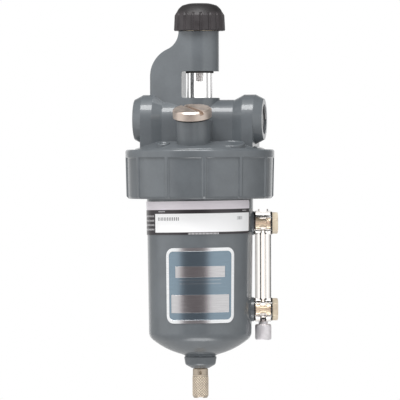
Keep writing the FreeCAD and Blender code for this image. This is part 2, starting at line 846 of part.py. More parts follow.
def level_gauge():
    """Clear block: two eyes along X joined by a bored rod, with seal recesses and a crown."""
    start = gauge_reach - gauge_eye_length / 2
    end = gauge_reach + gauge_eye_length / 2
    top = gauge_upper_height + gauge_eye_radius
    body = round_bar(gauge_rod_radius, gauge_lower_height, gauge_upper_height, gauge_reach)
    crown = round_bar(gauge_crown_radius, gauge_upper_height, top + gauge_crown_height, gauge_reach)
    foot = round_bar(gauge_crown_radius, vent_top, gauge_lower_height, gauge_reach)
    solids = [crown, foot]
    for height in (gauge_upper_height, gauge_lower_height):
        solids.append(bar_along_x(gauge_eye_radius, start, end, height))
    block = body.multiFuse(solids)
    bolt_hole = bolt_radius + bolt_clearance
    cuts = [round_bar(gauge_bore_radius, gauge_lower_height, gauge_upper_height, gauge_reach)]
    for height in (gauge_upper_height, gauge_lower_height):
        cuts.append(bar_along_x(bolt_hole, start - 1, end + 1, height))
        cuts.append(bar_along_x(gauge_seal_radius, start - 1, start + gauge_seal_sink, height))
        cuts.append(bar_along_x(gauge_seal_radius, end - gauge_seal_sink, end + 1, height))
    vent_hole = vent_stem_radius + vent_stem_clearance
    cuts.append(round_bar(vent_hole, vent_top - 1, gauge_lower_height, gauge_reach))
    return block.cut(cuts[0].multiFuse(cuts[1:])).removeSplitter()


def gauge_bolt(height, turn_deg):
    """Hollow hexagon bolt through one eye, with a waist where the oil passes."""
    head_start = gauge_reach + gauge_eye_length / 2 - gauge_seal_sink + gauge_seal_thickness
    shank_start = bowl_side(height) - bowl_wall
    waist_start = gauge_reach - bolt_waist_length / 2
    waist_end = gauge_reach + bolt_waist_length / 2
    length = head_start + bolt_head_height
    hexagonal = hexagon(bolt_head_flats, head_start, length, turn_deg)
    corner = bolt_head_flats / math.sqrt(3)
    shape = turned([
        (0, shank_start),
        (bolt_radius, shank_start),
        (bolt_radius, waist_start),
        (bolt_waist_radius, waist_start),
        (bolt_waist_radius, waist_end),
        (bolt_radius, waist_end),
        (bolt_radius, head_start),
        (corner + 0.01, head_start),
        (corner + 0.01, length - bolt_head_bevel * 0.6),
        (corner - bolt_head_bevel * 1.7, length),
        (0, length),
    ])
    beyond_head = washer(2 * corner, bolt_radius, head_start, length + 1).cut(hexagonal)
    shape = shape.cut(beyond_head)
    shape = shape.cut(round_bar(bolt_hole_radius, shank_start - 1, gauge_reach + bolt_hole_radius))
    start = Vector(-bolt_radius, 0, gauge_reach)
    cross = Part.makeCylinder(bolt_hole_radius * 0.8, 2 * bolt_radius, start, Vector(1, 0, 0))
    return lay_along_x(shape.cut(cross), 0, height)


def gauge_seal(height, start):
    """Seal washer round a gauge bolt."""
    outer = gauge_seal_radius - valve_clearance
    ring = washer(outer, bolt_radius + bolt_clearance, start, start + gauge_seal_thickness)
    return lay_along_x(ring, 0, height)


def gauge_vent_screw():
    """Knurled screw under the gauge; its stem closes the gauge's lower hole."""
    top = vent_top - rest_gap
    shoulder = top - vent_neck_height
    low = shoulder - vent_knob_height
    screw = turned([
        (0, stem_end()),
        (vent_stem_radius, stem_end()),
        (vent_stem_radius, top),
        (vent_neck_radius, top),
        (vent_neck_radius, shoulder),
        (vent_knob_radius - vent_knob_bevel, shoulder),
        (vent_knob_radius, shoulder - vent_knob_bevel),
        (vent_knob_radius, low + vent_knob_bevel),
        (vent_knob_radius - vent_knob_bevel, low),
        (0, low),
    ])
    screw.translate(Vector(gauge_reach, 0, 0))
    return screw


def stem_end():
    """Height of the vent stem's end, below the seal."""
    return gauge_lower_height - bolt_radius - bolt_clearance - rest_gap - vent_seal_height


def gauge_vent_seal():
    """Soft disc on the end of the vent stem."""
    seal = round_bar(vent_stem_radius, stem_end() + rest_gap, stem_end() + vent_seal_height)
    seal.translate(Vector(gauge_reach, 0, 0))
    return seal


def drain_knob():
    """Drain with a smooth neck, a long grip for the fingers, a stem and its outlet."""
    neck_low = drain_top - drain_neck_height
    low = drain_top - drain_knob_length
    stem_high = drain_top + drain_stem_length
    shape = turned([
        (0, stem_high),
        (drain_stem_radius, stem_high),
        (drain_stem_radius, drain_top),
        (drain_neck_radius - drain_bevel, drain_top),
        (drain_neck_radius, drain_top - drain_bevel),
        (drain_neck_radius, neck_low),
        (drain_knob_radius - drain_bevel / 2, neck_low),
        (drain_knob_radius, neck_low - drain_bevel / 2),
        (drain_knob_radius, low + drain_tip_height),
        (drain_knob_radius - drain_tip_height * 0.8, low),
        (0, low),
    ])
    hole_height = drain_top - drain_neck_height / 2
    start = Vector(0, -1.5 * drain_neck_radius, hole_height)
    cross = Part.makeCylinder(drain_side_hole_radius, 3 * drain_neck_radius, start, Vector(0, 1, 0))
    outlet = round_bar(drain_outlet_radius, low - 1, hole_height)
    slot = Part.makeBox(
        4 * drain_knob_radius,
        drain_slot_width,
        1 + drain_slot_depth,
        Vector(-2 * drain_knob_radius, -drain_slot_width / 2, low - 1),
    )
    slot.rotate(Vector(0, 0, 0), Vector(0, 0, 1), 90)
    return shape.cut(cross.multiFuse([outlet, slot]))


def drain_seal():
    """Soft disc on the drain's stem that closes the bushing's hole."""
    low = drain_top + drain_stem_length + rest_gap
    return washer(drain_stem_radius, bushing_seat_radius / 2, low, low + bushing_gasket_thickness)


def drain_bushing():
    """Bush through the bowl's tip, flanged inside, threaded for the drain."""
    high = bowl_floor_height + bushing_gasket_thickness + bushing_flange_height
    seat = drain_top + drain_stem_length + bushing_gasket_thickness + 2 * rest_gap
    bore = drain_stem_radius + drain_stem_clearance
    return turned([
        (bushing_seat_radius, high),
        (bushing_flange_radius, high),
        (bushing_flange_radius, high - bushing_flange_height),
        (bushing_radius - bushing_clearance, high - bushing_flange_height),
        (bushing_radius - bushing_clearance, bowl_tip_height),
        (bore, bowl_tip_height),
        (bore, seat),
        (bushing_seat_radius, seat),
    ])


def drain_bushing_gasket():
    """Gasket under the bushing's flange."""
    high = bowl_floor_height + bushing_gasket_thickness
    return washer(bushing_flange_radius, bushing_radius, bowl_floor_height, high)


def check_valve_body():
    """Screwed valve body under the deck, with the ball's chamber, its seat and a barb for the tube."""
    barb_low = valve_bottom - valve_barb_length
    body = hexagon(valve_hex_flats, valve_bottom, deck_under)
    body = body.multiFuse([
        round_bar(valve_thread_radius, deck_under, deck_under + valve_thread_depth),
        round_bar(valve_barb_radius, barb_low, valve_bottom),
    ])
    chamber_side = valve_ball_radius + valve_ball_clearance
    chamber = round_bar(chamber_side, ball_seat_height(), deck_under + valve_thread_depth + 1)
    feed = round_bar(valve_seat_radius, barb_low - 1, deck_under)
    return body.cut(chamber.fuse(feed)).cut(valve_pin())


def ball_seat_height():
    """Height of the rim that the check ball rests on."""
    return valve_bottom + valve_hex_height / 3


def check_ball():
    """Ball resting just above its seat's rim."""
    rest = math.sqrt(valve_ball_radius**2 - valve_seat_radius**2) + rest_gap
    return Part.makeSphere(valve_ball_radius, Vector(0, 0, ball_seat_height() + rest))


def valve_pin():
    """Cross pin that limits the ball's lift."""
    rest = math.sqrt(valve_ball_radius**2 - valve_seat_radius**2) + rest_gap
    height = ball_seat_height() + rest + valve_ball_radius + valve_ball_lift + valve_pin_radius + rest_gap
    half = valve_thread_radius - valve_clearance
    return Part.makeCylinder(valve_pin_radius, 2 * half, Vector(-half, 0, height), Vector(1, 0, 0))


def pickup_tube():
    """Tube pushed on the valve's barb."""
    return washer(pickup_tube_radius, valve_barb_radius, pickup_tube_bottom, valve_bottom)


def strainer():
    """Cup on the tube's lower end, with four windows."""
    low = pickup_tube_bottom - strainer_height / 2
    high = pickup_tube_bottom + strainer_height / 2
    cup = round_bar(strainer_radius, low, high)
    cup = cup.cut(round_bar(pickup_tube_radius, pickup_tube_bottom, high + 1))
    cup = cup.cut(round_bar(valve_barb_radius, low + 1, high))
    window_height = strainer_height / 4
    corner = Vector(0, -valve_barb_radius / 2, low + 1.2)
    window = Part.makeBox(2 * strainer_radius, valve_barb_radius, window_height, corner)
    windows = spread(window, 4, 45)
    return cup.cut(windows[0].multiFuse(windows[1:]))


def orifice_plug():
    """Jet that feeds air to the bowl."""
    radius = orifice_radius - orifice_clearance
    jet = washer(radius, orifice_hole_radius, deck_under, deck_under + deck_thickness)
    jet.translate(Vector(-orifice_offset, 0, 0))
    return jet


def wrap_label(top, bottom, from_deg, to_deg):
    """Thin label round the bowl's drafted wall, between two angles from its front."""
    corners = []
    for height in (bottom, top):
        corners.append(Vector(bowl_side(height) + label_glue, 0, height))
    for height in (top, bottom):
        corners.append(Vector(bowl_side(height) + label_glue + label_thickness, 0, height))
    corners.append(corners[0])
    face = Part.Face(Part.makePolygon(corners))
    face.rotate(Vector(0, 0, 0), Vector(0, 0, 1), from_deg - 90)
    return face.revolve(Vector(0, 0, 0), Vector(0, 0, 1), to_deg - from_deg)


def head_pieces():
    """Pieces fixed or fitted to the head, in the head's place."""
    upper_low = window_top - upper_seal_proud
    pieces = {
        "head_casting": head_casting(),
        "valve_bonnet": valve_bonnet(),
        "drip_nozzle": drip_nozzle(),
        "needle_valve": needle_valve(),
        "needle_o_ring": needle_o_ring(),
        "adjusting_knob": adjusting_knob(),
        "sight_glass": washer(glass_radius, glass_bore_radius, glass_bottom, glass_top),
        "glass_lower_seal": washer(glass_radius, drip_hole_radius, glass_seat_height, glass_bottom),
        "glass_upper_seal": washer(
            glass_radius + upper_seal_width, glass_radius, upper_low, upper_low + upper_seal_height),
        "venturi_insert": venturi_insert(),
        "fill_plug": fill_plug(),
        "fill_plug_seal": fill_plug_seal(),
        "clamp_ring": clamp_ring(),
        "orifice_plug": orifice_plug(),
    }
    pickup = {
        "check_valve_body": check_valve_body(),
        "check_ball": check_ball(),
        "ball_pin": valve_pin(),
        "pickup_tube": pickup_tube(),
        "strainer": strainer(),
    }
    for name, piece in pickup.items():
        piece.translate(Vector(-oil_passage_offset, oil_passage_side, 0))
        pieces[name] = piece
    return pieces


def bowl_pieces():
    """Pieces that come away with the bowl, turned so that the labels face the front."""
    inner_seal = gauge_pad_face()
    outer_seal = gauge_reach + gauge_eye_length / 2 - gauge_seal_sink
    pieces = {
        "bowl": bowl(),
        "bowl_seal": bowl_seal(),
        "level_gauge": level_gauge(),
        "upper_gauge_bolt": gauge_bolt(gauge_upper_height, bolt_upper_turn_deg),
        "lower_gauge_bolt": gauge_bolt(gauge_lower_height, bolt_lower_turn_deg),
        "upper_gauge_inner_seal": gauge_seal(gauge_upper_height, inner_seal),
        "upper_gauge_outer_seal": gauge_seal(gauge_upper_height, outer_seal),
        "lower_gauge_inner_seal": gauge_seal(gauge_lower_height, inner_seal),
        "lower_gauge_outer_seal": gauge_seal(gauge_lower_height, outer_seal),
        "gauge_vent_screw": gauge_vent_screw(),
        "gauge_vent_seal": gauge_vent_seal(),
        "drain_bushing": drain_bushing(),
        "drain_bushing_gasket": drain_bushing_gasket(),
        "drain_seal": drain_seal(),
        "drain_knob": drain_knob(),
        "rating_label": wrap_label(label_top, label_bottom, label_from_deg, label_to_deg),
        "badge_plate": wrap_label(badge_top, badge_bottom, -badge_half_deg, badge_half_deg),
    }
    for piece in pieces.values():
        piece.rotate(Vector(0, 0, 0), Vector(0, 0, 1), bowl_turn_deg)
    return pieces


def main():
    os.makedirs("parts", exist_ok=True)
    pieces = head_pieces() | bowl_pieces()
    for name, piece in pieces.items():
        piece.translate(Vector(port_face, 0, 0))
        piece.exportStep(f"parts/{name}.step")


if __name__ == "__main__":
    main()
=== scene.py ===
"""Dresses the air-line lubricator: finishes for the cast and turned pieces, and the fine shapes on them.

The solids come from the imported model. Here the knob, clamp ring, sight glass, nozzle, labels, drain and
port threads get their fine shape, every piece gets a procedural finish, and the stage lights the whole.
Lengths are in metres, in the model's own frame: +X along the flow, +Z up, the fill plug towards -Y.
"""

import math

import bmesh
import bpy
import numpy as np
from bpy.props import FloatProperty, FloatVectorProperty, IntProperty, PointerProperty
from bpy.types import Operator, Panel, PropertyGroup
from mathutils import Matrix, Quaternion, Vector


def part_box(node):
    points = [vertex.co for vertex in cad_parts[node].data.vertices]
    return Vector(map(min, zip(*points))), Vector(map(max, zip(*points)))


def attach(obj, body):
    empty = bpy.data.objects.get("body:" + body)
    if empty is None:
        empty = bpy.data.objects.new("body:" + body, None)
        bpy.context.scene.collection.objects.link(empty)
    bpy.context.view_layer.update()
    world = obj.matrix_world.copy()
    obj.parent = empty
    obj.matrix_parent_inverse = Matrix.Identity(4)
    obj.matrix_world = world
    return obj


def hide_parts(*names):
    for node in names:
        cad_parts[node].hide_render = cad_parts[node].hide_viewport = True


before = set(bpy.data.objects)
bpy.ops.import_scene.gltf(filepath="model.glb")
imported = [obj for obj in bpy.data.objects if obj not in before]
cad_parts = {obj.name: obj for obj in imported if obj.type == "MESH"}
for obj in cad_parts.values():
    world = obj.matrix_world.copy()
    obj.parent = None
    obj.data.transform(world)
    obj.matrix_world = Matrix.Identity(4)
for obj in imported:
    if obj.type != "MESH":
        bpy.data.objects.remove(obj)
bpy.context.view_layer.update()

bl_info = {
    "name": "Air-line lubricator finish",
    "version": (1, 0, 0),
    "blender": (4, 5, 0),
    "location": "View3D > Sidebar > Lubricator",
    "description": "Fine shapes, finishes and stage for the air-line lubricator",
    "category": "Object",
}

mm = 0.001

# Places taken from the frame.
knob_low, knob_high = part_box("adjusting_knob")
ring_low, ring_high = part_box("clamp_ring")
glass_low, glass_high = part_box("sight_glass")
badge_low, badge_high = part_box("badge_plate")
label_low, label_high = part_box("rating_label")
drain_low, drain_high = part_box("drain_knob")
vent_low, vent_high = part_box("gauge_vent_screw")
nozzle_low, nozzle_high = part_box("drip_nozzle")
axis_x = (glass_low[0] + glass_high[0]) / 2
axis_y = (glass_low[1] + glass_high[1]) / 2
gauge_x = (vent_low[0] + vent_high[0]) / 2
gauge_y = (vent_low[1] + vent_high[1]) / 2
bowl_turn = math.atan2(gauge_y - axis_y, gauge_x - axis_x)
port_length = 2 * axis_x
label_lean = math.radians(0.75)


class LubricatorSizes(PropertyGroup):
    """Fine sizes that the solids leave out."""

    knob_groove: FloatProperty(
        name="Knob groove", description="Depth of the knob's grooves", default=0.9 * mm, unit="LENGTH")
    knob_lobes: IntProperty(name="Knob lobes", description="Grooves round the knob", default=18, min=3)
    ring_ribs: IntProperty(name="Ring ribs", description="Ribs on the clamp ring", default=12, min=3)
    ring_panel: FloatProperty(
        name="Ring panel", description="Depth of the panels between ribs", default=0.9 * mm, unit="LENGTH")
    thread_pitch: FloatProperty(
        name="Port thread pitch", description="Pitch of the pipe thread", default=1.814 * mm, unit="LENGTH")
    knurl_height: FloatProperty(
        name="Knurl height", description="Height of the knurl's points", default=0.42 * mm, unit="LENGTH")


class LubricatorColours(PropertyGroup):
    """Colours of the finishes."""

    paint: FloatVectorProperty(
        name="Paint", description="Grey paint on castings and bowl", subtype="COLOR", size=3,
        default=(0.104, 0.117, 0.128), min=0, max=1)
    nylon: FloatVectorProperty(
        name="Nylon", description="Black plastic of the knob", subtype="COLOR", size=3,
        default=(0.034, 0.029, 0.031), min=0, max=1)
    brass: FloatVectorProperty(
        name="Brass", description="Brass pieces inside", subtype="COLOR", size=3,
        default=(0.86, 0.745, 0.57), min=0, max=1)
    bolt_brass: FloatVectorProperty(
        name="Bolt brass", description="Gauge bolts", subtype="COLOR", size=3,
        default=(1.0, 0.86, 0.66), min=0, max=1)
    drain_brass: FloatVectorProperty(
        name="Drain brass", description="Drain", subtype="COLOR", size=3,
        default=(1.0, 0.85, 0.68), min=0, max=1)
    vent: FloatVectorProperty(
        name="Vent", description="Aluminium vent screw", subtype="COLOR", size=3,
        default=(0.88, 0.85, 0.87), min=0, max=1)
    bronze: FloatVectorProperty(
        name="Bronze", description="Fill plug", subtype="COLOR", size=3,
        default=(0.78, 0.665, 0.585), min=0, max=1)
    badge: FloatVectorProperty(
        name="Badge", description="Blue field of the badge", subtype="COLOR", size=3,
        default=(0.23, 0.305, 0.365), min=0, max=1)


class LubricatorStage(PropertyGroup):
    """Camera and light."""

    distance: FloatProperty(
        name="Camera distance", description="From the bowl's axis", default=3.0, unit="LENGTH")
    eye_height: FloatProperty(
        name="Eye height", description="Height of the camera above the ports' axis", default=-0.030,
        unit="LENGTH")
    aim_height: FloatProperty(
        name="Aim height", description="Height that the camera looks at", default=-0.0531, unit="LENGTH")
    lens: FloatProperty(name="Lens", description="Focal length in millimetres", default=409.1)
    roll: FloatProperty(name="Roll", description="Lean of the camera", default=-0.0027, subtype="ANGLE")
    key_power: FloatProperty(name="Key power", description="Power of the key softbox in watts", default=4.8)
    room_level: FloatProperty(name="Room level", description="Even light from the room", default=1.08)
    floor_height: FloatProperty(
        name="Floor height", description="Height of the studio floor", default=-0.3, unit="LENGTH")


class Value:
    """What a socket gives in a shader: operators on it add Math nodes."""

    def __init__(self, graph, socket):
        self.graph = graph
        self.socket = socket

    def maths(self, operation, *others):
        """Math node with this as its first value."""
        node = self.graph.node("ShaderNodeMath", {"operation": operation}, dict(enumerate((self, *others))))
        return Value(self.graph, node.outputs[0])

    def swapped(self, operation, other):
        """Math node with this as its second value."""
        node = self.graph.node("ShaderNodeMath", {"operation": operation}, {0: other, 1: self})
        return Value(self.graph, node.outputs[0])

    def __add__(self, other):
        return self.maths("ADD", other)

    __radd__ = __add__

    def __sub__(self, other):
        return self.maths("SUBTRACT", other)

    def __rsub__(self, other):
        return self.swapped("SUBTRACT", other)

    def __mul__(self, other):
        return self.maths("MULTIPLY", other)

    __rmul__ = __mul__

    def __pow__(self, other):
        return self.maths("POWER", other)

    def __abs__(self):
        return self.maths("ABSOLUTE")

    def under(self, other):
        """1 where this is less than other."""
        return self.maths("LESS_THAN", other)

    def least(self, other):
        """The smaller of the two."""
        return self.maths("MINIMUM", other)

    def most(self, other):
        """The larger of the two."""
        return self.maths("MAXIMUM", other)

    def wrapped(self, size):
        """Distance to the nearest multiple of size."""
        return self.maths("PINGPONG", size / 2)

    def ramp(self, low, high, to_low=0.0, to_high=1.0):
        """Smooth step from to_low at low to to_high at high."""
        node = self.graph.node(
            "ShaderNodeMapRange", {"interpolation_type": "SMOOTHSTEP"},
            {"Value": self, "From Min": low, "From Max": high, "To Min": to_low, "To Max": to_high})
        return Value(self.graph, node.outputs[0])


class Finish:
    """A material and its nodes."""

    def __init__(self, name):
        self.material = bpy.data.materials.new(name)
        self.start(self.material, "ShaderNodeOutputMaterial")
        self.place = Value(self, self.node("ShaderNodeTexCoord").outputs["Object"])

    def start(self, owner, output):
        """Clears the nodes of a material or world and adds its output."""
        owner.use_nodes = True
        self.tree = owner.node_tree
        self.tree.nodes.clear()
        self.output = self.node(output)

    def node(self, kind, settings=None, inputs=None):
        """Any node: settings first, then the values or links of its sockets."""
        node = self.tree.nodes.new(kind)
        for name, value in (settings or {}).items():
            setattr(node, name, value)
        for key, value in (inputs or {}).items():
            socket = node.inputs[key]
            if isinstance(value, Value):
                self.tree.links.new(value.socket, socket)
            elif isinstance(value, (tuple, list)) and socket.type == "RGBA" and len(value) == 3:
                socket.default_value = (*value, 1)
            else:
                socket.default_value = value
        return node

    def noise(self, size, detail=3.0, roughness=0.5, stretch=None):
        """Noise from 0 to 1, with features of about the given size in metres."""
        where = self.place
        if stretch:
            mapping = self.node("ShaderNodeMapping", None, {"Vector": where, "Scale": stretch})
            where = Value(self, mapping.outputs[0])
        node = self.node("ShaderNodeTexNoise", None, {
            "Vector": where, "Scale": 1 / size, "Detail": detail, "Roughness": roughness})
        return Value(self, node.outputs["Fac"])

    def parts(self, vector):
        """The three numbers of a vector."""
        node = self.node("ShaderNodeSeparateXYZ", None, {0: vector})
        return [Value(self, output) for output in node.outputs]

    def mix(self, mask, low, high):
        """Colour low where the mask is 0, high where it is 1."""
        node = self.node("ShaderNodeMix", {"data_type": "RGBA"}, {0: mask, 6: low, 7: high})
        return Value(self, node.outputs[2])

    def tint(self, colour, amount):
        """A colour made lighter or darker by a number round 1."""
        node = self.node("ShaderNodeVectorMath", {"operation": "SCALE"}, {0: colour, "Scale": amount})
        return Value(self, node.outputs[0])

    def rounded(self, radius):
        """Normal that rounds edges by a radius."""
        node = self.node("ShaderNodeBevel", {"samples": 4}, {"Radius": radius})
        return Value(self, node.outputs[0])

    def bump(self, height, depth, normal=None):
        """Normal from a height of 0 to 1 that stands for a depth in metres."""
        inputs = {"Height": height, "Distance": depth}
        if normal:
            inputs["Normal"] = normal
        node = self.node("ShaderNodeBump", None, inputs)
        return Value(self, node.outputs[0])

    def surface(self, **inputs):
        """The main shader, by its sockets' names with _ for a space."""
        named = {name.replace("_", " "): value for name, value in inputs.items()}
        self.show(self.node("ShaderNodeBsdfPrincipled", None, named))
        return self.material

    def show(self, shader):
        """Links a shader to the output."""
        self.tree.links.new(shader.outputs[0], self.output.inputs["Surface"])

    def blend(self, mask, low, high):
        """Shader low where the mask is 0, high where it is 1."""
        node = self.node("ShaderNodeMixShader", None, {0: mask})
        self.tree.links.new(low.outputs[0], node.inputs[1])
        self.tree.links.new(high.outputs[0], node.inputs[2])
        return node

    def rays(self):
        """Three masks: rays from the camera, rays through glass and rays off gloss."""
        path = self.node("ShaderNodeLightPath")
        names = ("Is Camera Ray", "Is Transmission Ray", "Is Glossy Ray")
        return [Value(self, path.outputs[name]) for name in names]


class RoomFinish(Finish):
    """A world and its nodes."""

    def __init__(self, world):
        self.start(world, "ShaderNodeOutputWorld")
        self.direction = Value(self, self.node("ShaderNodeTexCoord").outputs["Generated"])

    def along(self, vector):
        """Cosine of the angle between the direction looked in and a unit vector."""
        node = self.node(
            "ShaderNodeVectorMath", {"operation": "DOT_PRODUCT"}, {0: self.direction, 1: tuple(vector)})
        return Value(self, node.outputs["Value"])


def weave(points, wrap_rows=False, wrap_columns=False):
    """Quads between neighbours on a (rows, columns, 3) grid of points, as (points, faces)."""
    rows, columns = points.shape[:2]
    index = np.arange(rows * columns).reshape(rows, columns)
    if wrap_rows:
        index = np.vstack([index, index[:1]])
    if wrap_columns:
        index = np.hstack([index, index[:, :1]])
    quads = np.stack([index[:-1, :-1], index[:-1, 1:], index[1:, 1:], index[1:, :-1]], axis=-1)
    return points.reshape(-1, 3), quads.reshape(-1, 4)


def piece(name, grids, body, material, sharp_deg=32.0, uv=None):
    """Object made of woven grids: doubles merged, normals outward, smooth but for its sharp edges."""
    points, faces, start = [], [], 0
    for grid_points, grid_faces in grids:
        points.append(grid_points)
        faces.append(grid_faces + start)
        start += len(grid_points)
    mesh = bpy.data.meshes.new(name)
    mesh.from_pydata(np.concatenate(points), [], np.concatenate(faces))
    if uv is not None:
        layer = mesh.uv_layers.new(name="flat")
        corners = np.empty(len(mesh.loops), dtype=np.int32)
        mesh.loops.foreach_get("vertex_index", corners)
        layer.data.foreach_set("uv", uv[corners].ravel())
    work = bmesh.new()
    work.from_mesh(mesh)
    bmesh.ops.remove_doubles(work, verts=work.verts, dist=1e-7)
    bmesh.ops.dissolve_degenerate(work, edges=work.edges, dist=1e-8)
    bmesh.ops.recalc_face_normals(work, faces=work.faces)
    work.to_mesh(mesh)
    work.free()
    mesh.shade_smooth()
    mesh.set_sharp_from_angle(angle=math.radians(sharp_deg))
    mesh.materials.append(material)
    made = bpy.data.objects.new(name, mesh)
    bpy.context.scene.collection.objects.link(made)
    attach(made, body)
    return made


def turned(profile, columns, centre, shift=None):
    """Profile of (radius, height) rows turned about an upright axis.

    Column angle t runs from the front (-Y) towards +X. A point is at radius + shift(row, t) along that
    direction and at the row's height.
    """
    profile = np.asarray(profile, dtype=float)
    t = np.linspace(0, 2 * math.pi, columns, endpoint=False)
    radius = np.repeat(profile[:, :1], columns, axis=1)
    if shift is not None:
        radius = radius + shift(t)
    return np.stack([
        centre[0] + radius * np.sin(t),
        centre[1] - radius * np.cos(t),
        np.repeat(profile[:, 1:], columns, axis=1),
    ], axis=-1)


def soft_corners(corners, steps=5):
    """Polyline through (radius, height, rounding) corners, each rounded by a quadratic curve.

    A rounding is the distance cut back from the corner along both sides.
    """
    corners = [np.array(corner, dtype=float) for corner in corners]
    rows = []
    for i, corner in enumerate(corners):
        point, cut = corner[:2], corner[2]
        if not cut or i in (0, len(corners) - 1):
            rows.append(point)
            continue
        back = corners[i - 1][:2] - point
        onward = corners[i + 1][:2] - point
        start = point + back / np.linalg.norm(back) * cut
        end = point + onward / np.linalg.norm(onward) * cut
        for s in np.linspace(0, 1, steps):
            rows.append((1 - s) ** 2 * start + 2 * s * (1 - s) * point + s**2 * end)
    return np.array(rows)


def step(value, low, high):
    """Smooth step from 0 at low to 1 at high: s^2 (3 - 2 s), with s the share of the way."""
    share = np.clip((value - low) / (high - low), 0, 1)
    return share * share * (3 - 2 * share)


def cast_paint(name, colour, edge=0.7 * mm, peel=1.0):
    """Satin paint over a casting: orange peel, faint mottling and rounded edges."""
    finish = Finish(name)
    mottle = finish.noise(14 * mm, 4)
    fine = finish.noise(1.6 * mm, 2)
    peel_height = finish.noise(0.9 * mm, 2, 0.4)
    shade = mottle.ramp(0.3, 0.7, 0.93, 1.07) * fine.ramp(0.3, 0.7, 0.98, 1.02)
    normal = finish.bump(peel_height, 0.03 * mm * peel, finish.rounded(edge) if edge else None)
    return finish.surface(
        Base_Color=finish.tint(tuple(colour), shade),
        Roughness=mottle.ramp(0.2, 0.8, 0.38, 0.46),
        Normal=normal,
        Coat_Weight=0.75,
        Coat_Roughness=0.06,
    )


def moulded_nylon(name, colour):
    """Black plastic with a faint texture and a soft sheen; its top is rougher, and its colour there is
    painted darker as shade.
    """
    finish = Finish(name)
    grain = finish.noise(0.35 * mm, 3)
    cloud = finish.noise(6 * mm, 3)
    # Painted shade: the colour of the knob's top is darkened by this mask, and its roughness is raised.
    top = finish.parts(finish.place)[2].ramp(knob_high[2] - 8 * mm, knob_high[2] - 4 * mm)
    return finish.surface(
        Base_Color=finish.tint(tuple(colour), cloud.ramp(0.3, 0.7, 0.85, 1.2) * (1 - top * 0.65)),
        Roughness=cloud.ramp(0.3, 0.7, 0.38, 0.5) + top * 0.12,
        Normal=finish.bump(grain, 0.02 * mm, finish.rounded(0.3 * mm)),
        Specular_IOR_Level=0.5,
    )


def turned_metal(name, colour, roughness=0.25, axis="Z", painted_knurl_shade=None, metallic=1.0):
    """Turned metal: fine rings about an axis, faint tarnish and rounded edges.

    The knurl argument, (centre, low radius, high radius), paints the colour darker as shade in a knurl's
    valleys and lighter as a painted highlight at its points. Metallic below 1 adds some plain colour, so
    that the metal looks pale from every side.
    """
    finish = Finish(name)
    cloud = finish.noise(4 * mm, 4)
    stretch = {"X": (1, 0.02, 0.02), "Z": (0.02, 0.02, 1)}[axis]
    rings = finish.noise(0.12 * mm, 1, stretch=stretch)
    normal = finish.bump(rings, 0.006 * mm, finish.rounded(0.25 * mm))
    shade = cloud.ramp(0.3, 0.7, 0.9, 1.06)
    if painted_knurl_shade:
        centre, low, high = painted_knurl_shade
        x, y = finish.parts(finish.place)[:2]
        radius = ((x - centre[0]) ** 2 + (y - centre[1]) ** 2) ** 0.5
        # Painted shade in the knurl's valleys and a painted highlight on its points.
        shade = shade * radius.ramp(low, high, 0.5, 1.12)
    return finish.surface(
        Base_Color=finish.tint(tuple(colour), shade),
        Metallic=metallic,
        Roughness=cloud.ramp(0.25, 0.75, roughness * 0.85, roughness * 1.2),
        Normal=normal,
    )


def soft_rubber(name):
    """Black rubber with a dusty bloom."""
    finish = Finish(name)
    bloom = finish.noise(1.5 * mm, 3)
    return finish.surface(
        Base_Color=finish.mix(bloom.ramp(0.4, 0.8), (0.018, 0.017, 0.017), (0.035, 0.034, 0.034)),
        Roughness=bloom.ramp(0.2, 0.8, 0.55, 0.7),
        Normal=finish.bump(bloom, 0.02 * mm),
    )


def clear_plastic(name, tint, roughness):
    """Clear moulded plastic or glass, with the faintest of waves in its surface."""
    finish = Finish(name)
    wave = finish.noise(3 * mm, 2)
    return finish.surface(
        Base_Color=finish.tint(tuple(tint), wave.ramp(0.2, 0.8, 0.99, 1.01)),
        Roughness=wave.ramp(0.3, 0.7, roughness * 0.6, roughness),
        Normal=finish.bump(wave, 0.015 * mm),
        IOR=1.49,
        Transmission_Weight=1.0,
    )


def frosted_plastic(name, tint, clearness):
    """Pale translucent plastic."""
    finish = Finish(name)
    wave = finish.noise(2 * mm, 2)
    return finish.surface(
        Base_Color=finish.tint(tuple(tint), wave.ramp(0.2, 0.8, 0.96, 1.03)),
        Roughness=wave.ramp(0.3, 0.7, 0.22, 0.32),
        IOR=1.46,
        Transmission_Weight=clearness,
    )


def flat_place(finish):
    """Across and up on a label, in metres from its centre, from its own map."""
    return finish.parts(Value(finish, finish.node("ShaderNodeUVMap", {"uv_map": "flat"}).outputs[0]))[:2]


def band(value, low, high, soft=0.05 * mm):
    """1 between two values, with soft ends."""
    return value.ramp(low - soft, low + soft) * (1 - value.ramp(high - soft, high + soft))


def ticks(value, pitch, share):
    """Plain strokes across a direction: 1 on a share of each pitch."""
    return value.wrapped(pitch).under(pitch * share / 2)


